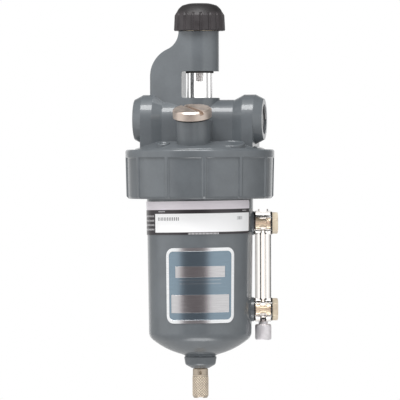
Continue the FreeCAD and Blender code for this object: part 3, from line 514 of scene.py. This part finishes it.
def rating_film(name, width, height):
    """Film label: silver band, dark line, white panel and dark foot, with plain strokes for print."""
    finish = Finish(name)
    across, up = flat_place(finish)
    from_top = height / 2 - up
    from_right = width / 2 - across
    grain = finish.noise(0.5 * mm, 3)
    brushed = finish.noise(0.4 * mm, 2, stretch=(0.05, 0.05, 1))
    silver = finish.tint((0.765, 0.715, 0.76), brushed.ramp(0.3, 0.7, 0.97, 1.03))
    dark = (0.033, 0.027, 0.031)
    panel = band(from_top, 8.1 * mm, 20.3 * mm) * band(from_right, 0.7 * mm, 74.6 * mm)
    print_row = band(from_top, 10.4 * mm, 12.6 * mm)
    print_place = band(from_right, 54.0 * mm, 72.0 * mm) + band(from_right, 9.0 * mm, 14.0 * mm)
    strokes = ticks(across, 1.35 * mm, 0.5) * print_row * print_place
    small = ticks(across, 0.9 * mm, 0.5)
    head_place = band(from_right, 65.0 * mm, 71.0 * mm) + band(from_right, 4.5 * mm, 9.0 * mm)
    head_marks = small * band(from_top, 6.3 * mm, 7.0 * mm) * head_place
    foot_marks = small * band(from_top, 20.7 * mm, 21.8 * mm) * band(from_right, 28.0 * mm, 48.0 * mm)
    side_marks = ticks(across, 1.7 * mm, 0.55) * ticks(from_top - 9.6 * mm, 2.9 * mm, 0.4)
    side_marks = side_marks * band(from_top, 8.6 * mm, 19.6 * mm) * from_right.ramp(75.4 * mm, 75.6 * mm)
    marks = (head_marks + foot_marks + side_marks * 0.75).least(1.0)
    printed = from_top.ramp(5.45 * mm, 5.6 * mm)
    colour = finish.mix(printed, silver, dark)
    colour = finish.mix(marks, colour, (0.7, 0.69, 0.7))
    colour = finish.mix(panel, colour, (0.94, 0.94, 0.945))
    colour = finish.mix(strokes * panel * 0.95, colour, (0.15, 0.15, 0.16))
    return finish.surface(
        Base_Color=colour,
        Roughness=grain.ramp(0.3, 0.7, 0.3, 0.4),
        Normal=finish.bump(grain, 0.01 * mm),
        Coat_Weight=0.2,
        Coat_Roughness=0.15,
    )


def foil_badge(name, blue, width, height):
    """Metal foil badge: bright border, blue-grey field, two bare panels and two rows of plain strokes."""
    finish = Finish(name)
    across, up = flat_place(finish)
    corner = 5.2 * mm
    side = abs(across) - (width / 2 - corner)
    end = abs(up) - (height / 2 - corner)
    outside = (side.most(0.0) ** 2 + end.most(0.0) ** 2) ** 0.5 + side.most(end).least(0.0)
    inward = corner - outside
    from_top = height / 2 - up
    brushed = finish.noise(0.25 * mm, 2, stretch=(0.03, 0.03, 1))
    border = 1 - inward.ramp(2.15 * mm, 2.3 * mm)
    upper_panel = band(from_top, 12.0 * mm, 19.3 * mm) * abs(across).ramp(16.6 * mm, 16.7 * mm, 1.0, 0.0)
    lower_panel = band(from_top, 30.6 * mm, 42.4 * mm) * abs(across).ramp(19.8 * mm, 19.9 * mm, 1.0, 0.0)
    panels = upper_panel + lower_panel
    rows = band(from_top, 20.6 * mm, 21.3 * mm) + band(from_top, 23.0 * mm, 23.7 * mm)
    marks = rows * ticks(across, 1.1 * mm, 0.5) * abs(across).ramp(14.0 * mm, 14.1 * mm, 0.6, 0.0)
    tone = brushed.ramp(0.3, 0.7, 0.93, 1.07)
    colour = finish.mix(panels, finish.tint(tuple(blue), tone), finish.tint((0.62, 0.61, 0.62), tone))
    colour = finish.mix(marks, colour, (0.55, 0.56, 0.58))
    colour = finish.mix(border, colour, finish.tint((0.9, 0.91, 0.92), tone))
    return finish.surface(
        Base_Color=colour,
        Metallic=1 - (1 - panels) * (1 - border) * 0.1,
        Roughness=brushed.ramp(0.2, 0.8, 0.2, 0.26),
        Normal=finish.bump((border + panels).least(1.0) + brushed * 0.03, 0.1 * mm),
        Coat_Weight=0.2,
        Coat_Roughness=0.1,
    )


def dress(node, material):
    """Gives a solid of the frame its finish."""
    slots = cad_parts[node].data.materials
    slots.clear()
    slots.append(material)


class LUBRICATOR_OT_castings(Operator):
    """Paint on the head and bowl, and plain finishes on the small parts"""

    bl_idname = "lubricator.castings"
    bl_label = "Castings and small parts"

    def execute(self, context):
        colours = context.scene.lubricator_colours
        dress("head_casting", cast_paint("head paint", colours.paint))
        # The bowl takes the head's paint made 8% lighter: painted light, making up for the dimmer light on
        # the lower part.
        dress("bowl", cast_paint("bowl paint painted lighter", Vector(colours.paint) * 1.08, edge=0.5 * mm, peel=0.7))
        brass = turned_metal("turned brass", colours.brass)
        for node in ("valve_bonnet", "venturi_insert", "orifice_plug", "check_valve_body", "strainer",
                     "drain_bushing"):
            dress(node, brass)
        bolts = turned_metal("bolt brass", colours.bolt_brass, 0.34, "X", metallic=0.55)
        dress("upper_gauge_bolt", bolts)
        dress("lower_gauge_bolt", bolts)
        dress("fill_plug", turned_metal("plug bronze", colours.bronze, 0.42))
        dress("gauge_vent_screw", turned_metal("vent aluminium", colours.vent, 0.5, metallic=0.7))
        steel = turned_metal("turned steel", (0.56, 0.55, 0.54))
        for node in ("needle_valve", "check_ball", "ball_pin"):
            dress(node, steel)
        rubber = soft_rubber("seal rubber")
        for node in ("needle_o_ring", "glass_lower_seal", "glass_upper_seal", "fill_plug_seal", "bowl_seal",
                     "upper_gauge_inner_seal", "upper_gauge_outer_seal", "lower_gauge_inner_seal",
                     "lower_gauge_outer_seal", "gauge_vent_seal", "drain_seal", "drain_bushing_gasket"):
            dress(node, rubber)
        dress("level_gauge", clear_plastic("gauge plastic", (0.9, 0.87, 0.84), 0.03))
        dress("pickup_tube", frosted_plastic("tube plastic", (0.92, 0.9, 0.88), 0.35))
        return {"FINISHED"}


class LUBRICATOR_OT_knob(Operator):
    """Fluted knob with soft grooves and a domed top"""

    bl_idname = "lubricator.knob"
    bl_label = "Adjusting knob"

    def execute(self, context):
        sizes = context.scene.lubricator_sizes
        radius = (knob_high[0] - knob_low[0]) / 2
        low, high = knob_low[2], knob_high[2]
        outside = soft_corners([
            (0, high, 0),
            (6.6 * mm, high - 0.1 * mm, 1.5 * mm),
            (11.4 * mm, high - 1.4 * mm, 1.1 * mm),
            (13.9 * mm, high - 3.7 * mm, 1.3 * mm),
            (15.2 * mm, high - 6.1 * mm, 0.5 * mm),
            (radius - 0.45 * mm, high - 7.9 * mm, 0.5 * mm),
            (radius, low + 0.5 * mm, 0.3 * mm),
            (radius - 0.3 * mm, low, 0.2 * mm),
            (radius - 1.4 * mm, low, 0),
        ])
        wall, hub, stem_hole = radius - 3.4 * mm, 5 * mm, 2.58 * mm
        ceiling, hub_foot, hole_end = high - 5.4 * mm, low + 6.5 * mm, high - 3.3 * mm
        inside = np.array([
            (wall, low),
            (wall, ceiling),
            (hub, ceiling),
            (hub, hub_foot),
            (stem_hole, hub_foot),
            (stem_hole, hole_end),
            (0, hole_end),
        ])
        profile = np.concatenate([outside, inside])
        fade = 1 - step(outside[:, 1], high - 7.2 * mm, high - 6.0 * mm)
        fade = fade * step(outside[:, 0], 12 * mm, 15 * mm)
        fade = np.concatenate([fade, np.zeros(len(inside))])[:, None]
        spacing = 2 * math.pi / sizes.knob_lobes
        first = bowl_turn + math.radians(3.7)

        def groove(t):
            """Round-bottomed groove: depth times (1 - (d/w)^2) within w of each groove, and flat lobes."""
            distance = np.abs((t - first + spacing / 2) % spacing - spacing / 2) * radius
            dip = np.clip(1 - (distance / (1.2 * mm)) ** 2, 0, 1) ** 0.8
            from_lobe = 1 - distance / (spacing / 2 * radius)
            return -fade * (sizes.knob_groove * dip + 0.16 * mm * (1 - from_lobe**2))

        grid = turned(profile, 32 * sizes.knob_lobes, (axis_x, axis_y), groove)
        knob = piece("fluted_knob", [weave(grid, wrap_columns=True)], "knob",
                     moulded_nylon("knob nylon", context.scene.lubricator_colours.nylon), 40)
        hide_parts("adjusting_knob")
        return {"FINISHED"}


class LUBRICATOR_OT_clamp_ring(Operator):
    """Ribbed clamp ring with soft-edged panels"""

    bl_idname = "lubricator.clamp_ring"
    bl_label = "Clamp ring"

    def execute(self, context):
        sizes = context.scene.lubricator_sizes
        radius = (ring_high[0] - ring_low[0]) / 2
        foot = radius - 0.7 * mm
        low, high = ring_low[2], ring_high[2]
        thread, bore = 43.08 * mm, 35.8 * mm
        lip = low + 6 * mm
        outside = soft_corners([
            (thread, high, 0),
            (radius, high, 1.9 * mm),
            (radius - 0.1 * mm, high - 4.9 * mm, 0.2 * mm),
            (radius - 0.12 * mm, high - 6.0 * mm, 0.2 * mm),
            (foot, low + 1.7 * mm, 0.5 * mm),
            (foot - 1.7 * mm, low, 0.4 * mm),
            (bore, low, 0),
        ], 6)
        inside = np.array([(bore, lip), (thread, lip)])
        profile = np.concatenate([outside, inside])
        heights = outside[:, 1]
        depth = 1 - step(heights, high - 6.1 * mm, high - 5.0 * mm)
        depth = depth * (outside[:, 0] > 44 * mm) * step(heights, low - 0.5 * mm, low + 2.2 * mm)
        depth = np.concatenate([depth, np.zeros(len(inside))])[:, None]
        spacing = 2 * math.pi / sizes.ring_ribs
        rib_place = math.radians(12.0)

        def panels(t):
            """Panel depth beyond half a rib's width from each rib, with sloped flanks."""
            distance = np.abs((t - rib_place + spacing / 2) % spacing - spacing / 2) * radius
            return -sizes.ring_panel * depth * step(distance, 0.85 * mm, 1.75 * mm)

        columns = 72 * sizes.ring_ribs
        grid = turned(profile, columns, (axis_x, axis_y), panels)
        ring = piece("ribbed_ring", [weave(grid, wrap_rows=True, wrap_columns=True)], "ring",
                     cast_paint("ring paint", context.scene.lubricator_colours.paint, edge=0), 50)
        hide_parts("clamp_ring")
        return {"FINISHED"}


class LUBRICATOR_OT_sight_glass(Operator):
    """Smooth thick-walled sight glass with small chamfers"""

    bl_idname = "lubricator.sight_glass"
    bl_label = "Sight glass"

    def execute(self, context):
        outer = (glass_high[0] - glass_low[0]) / 2
        bore = 4.6 * mm
        low, high = glass_low[2], glass_high[2]
        profile = soft_corners([
            (bore, low, 0),
            (outer, low, 0.3 * mm),
            (outer, high, 0.3 * mm),
            (bore, high, 0.3 * mm),
            (bore, low + 0.01 * mm, 0),
        ], 3)
        grid = turned(profile[:-1], 160, (axis_x, axis_y))
        glass = piece("sight_tube", [weave(grid, wrap_rows=True, wrap_columns=True)], "head",
                      clear_plastic("sight glass", (0.99, 0.99, 0.99), 0.01), 40)
        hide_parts("sight_glass")
        return {"FINISHED"}


class LUBRICATOR_OT_nozzle(Operator):
    """Drip nozzle with a round nose, hanging in the sight glass"""

    bl_idname = "lubricator.nozzle"
    bl_label = "Drip nozzle"

    def execute(self, context):
        flange = (nozzle_high[0] - nozzle_low[0]) / 2
        low, high = nozzle_low[2], nozzle_high[2]
        under = high - 2 * mm
        hole = 0.7 * mm
        profile = soft_corners([
            (hole, high, 0),
            (flange, high, 0.1 * mm),
            (flange, under, 0.1 * mm),
            (2.9 * mm, under, 0.2 * mm),
            (2.4 * mm, low, 0.9 * mm),
            (hole, low, 0.15 * mm),
            (hole, high - 0.1 * mm, 0),
        ], 6)
        grid = turned(profile, 96, (axis_x, axis_y))
        plastic = frosted_plastic("drip nozzle plastic", (0.98, 0.96, 0.94), 0.5)
        nozzle = piece("round_nozzle", [weave(grid, wrap_rows=True, wrap_columns=True)], "head",
                       plastic, 40)
        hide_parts("drip_nozzle")
        return {"FINISHED"}


def bowl_radius(height):
    """Outer radius of the bowl's wall: the top's, less the draft times the share of the way down."""
    top, foot = -46.2 * mm, -143.2 * mm
    top_radius, draft = 35.2 * mm, 1.3 * mm
    return top_radius - draft * (top - height) / (top - foot)


def label_patch(half_low, half_high, low, high, corner, columns):
    """Rounded rectangle bent round the bowl, as an outer and an inner sheet joined at their edges.

    A row's ends draw in by corner - sqrt(corner^2 - d^2) within the corner's height. A point is just off
    the bowl's radius along its angle from the front, and rises by the label's lean along its way round.
    Returns the grid and its flat map in metres.
    """
    rows = 40
    height = high - low
    v = (1 - np.cos(np.linspace(0, math.pi, rows))) / 2
    z = low + v * height
    d = np.clip(corner - np.minimum(z - low, high - z), 0, corner)
    draw_in = corner - np.sqrt(np.maximum(corner**2 - d**2, 0))
    mean = bowl_radius((low + high) / 2)
    start = half_low + draw_in / mean
    end = half_high - draw_in / mean
    u = np.linspace(0, 1, columns)
    angle = start[:, None] + (end - start)[:, None] * u
    middle = (half_low + half_high) / 2
    flat = np.stack([(angle - middle) * mean, np.repeat((z - (low + high) / 2)[:, None], columns, 1)], -1)
    turn = angle + bowl_turn
    leaning = z[:, None] + (angle - middle) * mean * math.tan(label_lean)
    sheets = []
    for off in (0.38 * mm, 0.12 * mm):
        radius = bowl_radius(leaning) + off
        x = axis_x + radius * np.sin(turn)
        y = axis_y - radius * np.cos(turn)
        sheets.append(np.stack([x, y, leaning], -1))
    outer, inner = sheets
    loop = np.concatenate([outer, inner[:, ::-1]], axis=1)
    flat = np.concatenate([flat, flat[:, ::-1]], axis=1)
    # The loop of each row closes on itself; the first and last rows are closed by narrow strips.
    points, faces = weave(loop, wrap_columns=True)
    for row in (0, rows - 1):
        first = row * 2 * columns
        ahead = np.arange(columns - 1)
        across = 2 * columns - 1 - ahead
        strip = np.stack([first + ahead, first + ahead + 1, first + across - 1, first + across], -1)
        faces = np.concatenate([faces, strip])
    return (points, faces), flat.reshape(-1, 2)


class LUBRICATOR_OT_labels(Operator):
    """Rating label and foil badge, with rounded corners"""

    bl_idname = "lubricator.labels"
    bl_label = "Labels"

    def execute(self, context):
        low, high = label_low[2], label_high[2]
        half_low, half_high = math.radians(-118), math.radians(66)
        grid, flat = label_patch(half_low, half_high, low, high, 2.2 * mm, 160)
        width = (half_high - half_low) * bowl_radius((low + high) / 2)
        label = piece("rating_film", [grid], "cup",
                      rating_film("rating film", width, high - low), 60, flat)
        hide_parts("rating_label")

        low, high = badge_low[2], badge_high[2]
        half = math.radians(39.5)
        grid, flat = label_patch(-half, half, low, high, 5.2 * mm, 96)
        width = 2 * half * bowl_radius((low + high) / 2)
        blue = context.scene.lubricator_colours.badge
        badge = piece("foil_badge", [grid], "cup",
                      foil_badge("foil badge", blue, width, high - low), 60, flat)
        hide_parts("badge_plate")
        return {"FINISHED"}


def diamonds(turn, height, pitch, count):
    """Points of a knurl, from 0 to 1.

    They are min(a, b), where a and b are triangle waves of the turn plus and minus the height: their
    ridges cross as the two cuts of a knurling wheel do.
    """
    a = (turn * count / (2 * math.pi) + height / pitch) % 1
    b = (turn * count / (2 * math.pi) - height / pitch) % 1
    return np.minimum(1 - np.abs(2 * a - 1), 1 - np.abs(2 * b - 1))


def knurled_sleeve(centre, radius, low, high, count, rise):
    """Diamond knurl on a sleeve: radius + rise * diamonds, faded over a third of a pitch at each end."""
    columns = count * 6
    pitch = 2 * math.pi * radius / count
    z = np.linspace(low, high, int((high - low) / pitch * 6))
    t = np.linspace(0, 2 * math.pi, columns, endpoint=False)
    ends = step(z, low, low + pitch / 3) * (1 - step(z, high - pitch / 3, high))
    outer = radius + rise * diamonds(t, z[:, None] - low, pitch, count) * ends[:, None]
    inner = np.full((2, columns), radius - 0.3 * mm)
    heights = np.concatenate([z, [high, low]])
    radii = np.concatenate([outer, inner])
    grid = np.stack([
        centre[0] + radii * np.sin(t),
        centre[1] - radii * np.cos(t),
        np.repeat(heights[:, None], columns, 1),
    ], -1)
    return weave(grid, wrap_rows=True, wrap_columns=True)


class LUBRICATOR_OT_knurls(Operator):
    """Drain with its knurled grip, side hole and slot, and the knurl on the vent screw"""

    bl_idname = "lubricator.knurls"
    bl_label = "Knurls"

    def execute(self, context):
        rise = context.scene.lubricator_sizes.knurl_height
        colours = context.scene.lubricator_colours
        self.drain(rise, colours.drain_brass)
        centre = (gauge_x, gauge_y)
        grip = (vent_high[0] - vent_low[0]) / 2 + 0.02 * mm
        low, high = vent_low[2] + 0.7 * mm, vent_low[2] + 9.6 * mm
        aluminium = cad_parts["gauge_vent_screw"].data.materials[0]
        sleeve = knurled_sleeve(centre, grip, low, high, 26, rise * 0.5)
        piece("vent_knurl", [sleeve], "vent", aluminium, 20)
        return {"FINISHED"}

    def drain(self, rise, colour):
        """Plug, neck with a hollow on each side, knurled grip and slotted foot, from top to bottom."""
        count = 18
        grip = (drain_high[0] - drain_low[0]) / 2 - rise + 0.04 * mm
        high, foot = drain_high[2], drain_low[2]
        top = high - 6 * mm
        plug, neck, foot_hole = 3.2 * mm, 5.1 * mm, 1.5 * mm
        grip_high, grip_low = top - 5.1 * mm, foot + 1.3 * mm
        neck_rows = np.linspace(top - 0.8 * mm, top - 4.4 * mm, 19)
        knurl_rows = np.linspace(grip_high, grip_low, 60)
        profile = np.concatenate([
            [(0, high), (plug, high), (plug, top)],
            [(neck - 0.6 * mm, top), (neck - 0.15 * mm, top - 0.25 * mm)],
            np.stack([np.full_like(neck_rows, neck), neck_rows], -1),
            [(grip + 0.3 * mm, top - 4.7 * mm)],
            np.stack([np.full_like(knurl_rows, grip), knurl_rows], -1),
            [(grip - 0.1 * mm, grip_low - 0.4 * mm), (grip - 0.6 * mm, foot)],
            [(3.4 * mm, foot), (2.4 * mm, foot), (foot_hole, foot)],
            [(foot_hole, foot + 4 * mm), (0, foot + 4 * mm)],
        ])
        z = profile[:, 1:]
        pitch = 2 * math.pi * grip / count
        knurled = step(z, grip_low - 0.2 * mm, grip_low + 0.3 * mm)
        knurled = knurled * (1 - step(z, grip_high - 0.1 * mm, grip_high))
        on_neck = (profile[:, :1] > 4.9 * mm) * (z > top - 4.5 * mm)

        def cuts(t):
            """Knurl on the grip, and hollows on the neck: depth times (1 - (d/r)^2) round each centre."""
            away = (t - bowl_turn + math.pi / 2) % math.pi - math.pi / 2
            distance = np.sqrt((away * neck) ** 2 + ((z - top + 2.7 * mm) / 1.3) ** 2)
            hollow = np.clip(1 - (distance / mm) ** 2, 0, 1) * on_neck
            return rise * knurled * diamonds(t, z, pitch, count) - 1.3 * mm * hollow

        grid = turned(profile, count * 8, (axis_x, axis_y), cuts)
        across = grid[..., 0] - axis_x
        along = grid[..., 1] - axis_y
        side = across * math.cos(bowl_turn) + along * math.sin(bowl_turn)
        slot = (1 - step(np.abs(side), 1.3 * mm, 1.6 * mm)) * (np.abs(z - foot) < 1e-6)
        grid[..., 2] += 0.5 * mm * slot
        # Painted shade in the grip's knurl valleys and a painted highlight on its points.
        painted_knurl_shade = ((axis_x, axis_y), grip + rise * 0.1, grip + rise * 0.8)
        metal = turned_metal("knurled brass", colour, 0.32, metallic=0.5, painted_knurl_shade=painted_knurl_shade)
        drain = piece("knurled_drain", [weave(grid, wrap_columns=True)], "tap", metal, 20)
        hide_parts("drain_knob")


class LUBRICATOR_OT_boss_fillet(Operator):
    """Soft fillet of paint where the drain's boss meets the bowl"""

    bl_idname = "lubricator.boss_fillet"
    bl_label = "Boss fillet"

    def execute(self, context):
        profile = np.array([
            (9.0, -156.9), (10.5, -156.95), (10.3, -156.55), (10.1, -156.1), (10.2, -155.8), (10.7, -155.5),
            (11.5, -155.12), (12.2, -154.86), (12.0, -154.5), (9.0, -155.2),
        ]) * mm
        grid = turned(profile, 120, (axis_x, axis_y))
        piece("boss_fillet", [weave(grid, wrap_rows=True, wrap_columns=True)], "cup",
              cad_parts["bowl"].data.materials[0], 60)
        return {"FINISHED"}


class LUBRICATOR_OT_deck_pads(Operator):
    """Two low round pads with a raised rim on the deck's slope, leant towards the front"""

    bl_idname = "lubricator.deck_pads"
    bl_label = "Deck pads"

    def execute(self, context):
        lean = math.radians(11.2)
        sunk, under = -0.7 * mm, -3.0 * mm
        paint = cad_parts["head_casting"].data.materials[0]
        pads = (
            ("right_pad", 23.8 * mm, -22.8 * mm, -15.6 * mm, 9.4 * mm),
            ("left_pad", -19.4 * mm, -29.1 * mm, -15.5 * mm, 4.2 * mm),
        )
        for name, across, along, height, radius in pads:
            profile = soft_corners([
                (0, sunk, 0),
                (radius - 1.7 * mm, sunk, 0.2 * mm),
                (radius - 1.2 * mm, 0, 0.25 * mm),
                (radius - 0.5 * mm, 0, 0.3 * mm),
                (radius, -0.6 * mm, 0.25 * mm),
                (radius, under, 0),
                (0, under, 0),
            ], 4)
            # The turned profile leans by a rotation about X, then moves to its place.
            x, y, z = np.moveaxis(turned(profile, 96, (0, 0)), -1, 0)
            grid = np.stack([
                axis_x + across + x,
                axis_y + along + y * math.cos(lean) - z * math.sin(lean),
                height + y * math.sin(lean) + z * math.cos(lean),
            ], -1)
            piece(name, [weave(grid, wrap_columns=True)], "head", paint, 50)
        return {"FINISHED"}


class LUBRICATOR_OT_port_threads(Operator):
    """Pipe threads in both ports"""

    bl_idname = "lubricator.port_threads"
    bl_label = "Port threads"

    def execute(self, context):
        pitch = context.scene.lubricator_sizes.thread_pitch
        root, crest = 9.88 * mm, 9.15 * mm
        length = 14.5 * mm
        turns = length / pitch
        columns = int(turns * 72)
        t = np.linspace(0, 2 * math.pi * turns, columns)
        taper = np.minimum(step(t, 0, 2.5), 1 - step(t, t[-1] - 2.5, t[-1]))
        # Each point of the section follows a helix: along by a pitch each turn, at the root's radius or the
        # crest's, and the thread rises from the root and sinks back to it at its ends.
        section = np.array([(-0.46, 0), (-0.1, 1), (0.1, 1), (0.46, 0)])
        for name, face, side in (("inlet", 0.0, 1), ("outlet", port_length, -1)):
            along = face + side * (0.9 * mm + t[:, None] * pitch / (2 * math.pi) + section[:, 0] * pitch)
            radius = root - (root - crest) * section[:, 1] * (0.05 + 0.95 * taper[:, None])
            grid = np.stack([
                along,
                radius * np.cos(t)[:, None] * np.ones(4),
                radius * np.sin(t)[:, None] * np.ones(4),
            ], -1)
            points, faces = weave(grid, wrap_columns=True)
            end = np.arange(4)
            caps = np.array([end, len(points) - 4 + end])
            closed = (points, np.concatenate([faces, caps]))
            metal = turned_metal(f"{name} thread metal", (0.5, 0.5, 0.5), 0.35, "X")
            piece(f"{name}_thread", [closed], "head", metal, 30)
        return {"FINISHED"}


class LUBRICATOR_OT_stage(Operator):
    """Camera, lamps, room and floor"""

    bl_idname = "lubricator.stage"
    bl_label = "Stage"

    def execute(self, context):
        stage = context.scene.lubricator_stage
        towards = Vector((math.sin(bowl_turn), -math.cos(bowl_turn), 0))
        aside = Vector((math.cos(bowl_turn), math.sin(bowl_turn), 0))
        axis = Vector((axis_x, axis_y, 0))
        camera = bpy.data.objects.new("camera", bpy.data.cameras.new("camera"))
        context.scene.collection.objects.link(camera)
        camera.data.lens = stage.lens
        camera.data.sensor_width = 36
        camera.location = axis + towards * stage.distance + Vector((0, 0, stage.eye_height))
        aim = axis + Vector((0, 0, stage.aim_height))
        look = (aim - camera.location).to_track_quat("-Z", "Y")
        camera.rotation_euler = (look @ Quaternion((0, 0, 1), stage.roll)).to_euler()
        context.scene.camera = camera
        context.scene.view_settings.view_transform = "Standard"

        softbox = bpy.data.lights.new("key", "AREA")
        softbox.shape = "RECTANGLE"
        softbox.size, softbox.size_y = 0.6, 0.3
        softbox.energy = stage.key_power
        key = bpy.data.objects.new("key", softbox)
        key.location = axis + towards * 0.363 - aside * 0.111 + Vector((0, 0, 0.587))
        key.rotation_euler = (axis - key.location).to_track_quat("-Z", "Y").to_euler()
        context.scene.collection.objects.link(key)

        floor_mesh = bpy.data.meshes.new("floor")
        reach = 0.55
        floor_mesh.from_pydata(
            [(axis_x + x * reach, axis_y + y * reach, stage.floor_height)
             for x, y in ((-1, -1), (1, -1), (1, 1), (-1, 1))], [], [(0, 1, 2, 3)])
        floor = bpy.data.objects.new("floor", floor_mesh)
        context.scene.collection.objects.link(floor)
        floor_mesh.materials.append(self.floor_paint(towards, aside))
        self.room(context.scene, stage.room_level, towards, aside)
        return {"FINISHED"}

    def floor_paint(self, towards, aside):
        """White floor that takes a shadow: white to the camera, and clear from below.

        Gloss alone sees a bright patch in front of the object, the highlight on the bowl's shoulder.
        """
        finish = Finish("floor white")
        x, y = finish.parts(finish.place)[:2]
        ahead = (x - axis_x) * towards.x + (y - axis_y) * towards.y
        across = (x - axis_x) * aside.x + (y - axis_y) * aside.y
        patch = band(ahead, 0.02, 0.14, 0.04) * (1 - abs(across).ramp(0.03, 0.09))
        seen, through, mirrored = finish.rays()
        strength = seen * 1.04 + through * 0.7 + mirrored * (0.6 + patch * 4.0)
        plain = finish.node("ShaderNodeBsdfDiffuse", None, {"Color": (0.8, 0.8, 0.8)})
        glow = finish.node("ShaderNodeEmission", None, {"Color": (1, 1, 1), "Strength": strength})
        top = finish.blend((seen + through + mirrored).least(1.0) * 0.92, plain, glow)
        below = Value(finish, finish.node("ShaderNodeNewGeometry").outputs["Backfacing"])
        finish.show(finish.blend(below, top, finish.node("ShaderNodeBsdfTransparent")))
        return finish.material

    def room(self, scene, level, towards, aside):
        """White room to the camera.

        Glass sees it dimmer between the four sides, and gloss sees it dark round the camera, dim beside the
        backdrop, at the right and above. For even light it is brighter at the left and dimmer above.
        """
        world = bpy.data.worlds.new("room")
        scene.world = world
        finish = RoomFinish(world)
        seen, through, mirrored = finish.rays()
        facing, right, up = finish.along(towards), finish.along(aside), finish.along((0, 0, 1))
        shade = math.radians(12.7)
        shadow_way = towards * math.cos(shade) - aside * math.sin(shade)
        shadow = finish.along(shadow_way).ramp(0.783, 0.94)
        belt = facing.ramp(-0.95, -0.75) * (1 - facing.ramp(-0.45, -0.05))
        right_side = right.ramp(0.3, 0.9) * (1 - facing.ramp(-0.1, 0.35))
        gloss = (1 - shadow * 0.83) * (1 - belt * 0.6) * (1 - right_side * 0.5)
        gloss = gloss * up.ramp(0.25, 0.5, 1.0, 0.5)
        even = right.ramp(-1.0, 1.0, 1.15, 0.85) * up.ramp(0.1, 0.9, 1.0, 0.55) * level
        clear = 1 - abs(facing * right * 2).ramp(0.2, 0.6) * 0.7
        rest = 1 - (seen + through + mirrored).least(1.0)
        strength = seen + through * clear + mirrored * gloss + rest * even
        colour = finish.mix(shadow * mirrored, (1, 1, 1), (1.0, 0.89, 0.92))
        finish.show(finish.node("ShaderNodeBackground", None, {"Color": colour, "Strength": strength}))


class LUBRICATOR_PT_panel(Panel):
    """Lists the steps"""

    bl_label = "Lubricator"
    bl_space_type = "VIEW_3D"
    bl_region_type = "UI"
    bl_category = "Lubricator"

    def draw(self, context):
        for step_class in steps:
            self.layout.operator(step_class.bl_idname)


settings = (
    ("lubricator_sizes", LubricatorSizes),
    ("lubricator_colours", LubricatorColours),
    ("lubricator_stage", LubricatorStage),
)
steps = (
    LUBRICATOR_OT_castings,
    LUBRICATOR_OT_knob,
    LUBRICATOR_OT_clamp_ring,
    LUBRICATOR_OT_sight_glass,
    LUBRICATOR_OT_nozzle,
    LUBRICATOR_OT_labels,
    LUBRICATOR_OT_knurls,
    LUBRICATOR_OT_boss_fillet,
    LUBRICATOR_OT_deck_pads,
    LUBRICATOR_OT_port_threads,
    LUBRICATOR_OT_stage,
)


def register():
    for name, group in settings:
        bpy.utils.register_class(group)
        setattr(bpy.types.Scene, name, PointerProperty(type=group))
    for cls in (*steps, LUBRICATOR_PT_panel):
        bpy.utils.register_class(cls)


def unregister():
    for cls in reversed((*steps, LUBRICATOR_PT_panel)):
        bpy.utils.unregister_class(cls)
    for name, group in reversed(settings):
        delattr(bpy.types.Scene, name)
        bpy.utils.unregister_class(group)


def main():
    """Runs every step in order."""
    register()
    for cls in steps:
        group, name = cls.bl_idname.split(".")
        getattr(getattr(bpy.ops, group), name)()


if __name__ == "__main__":
    main()
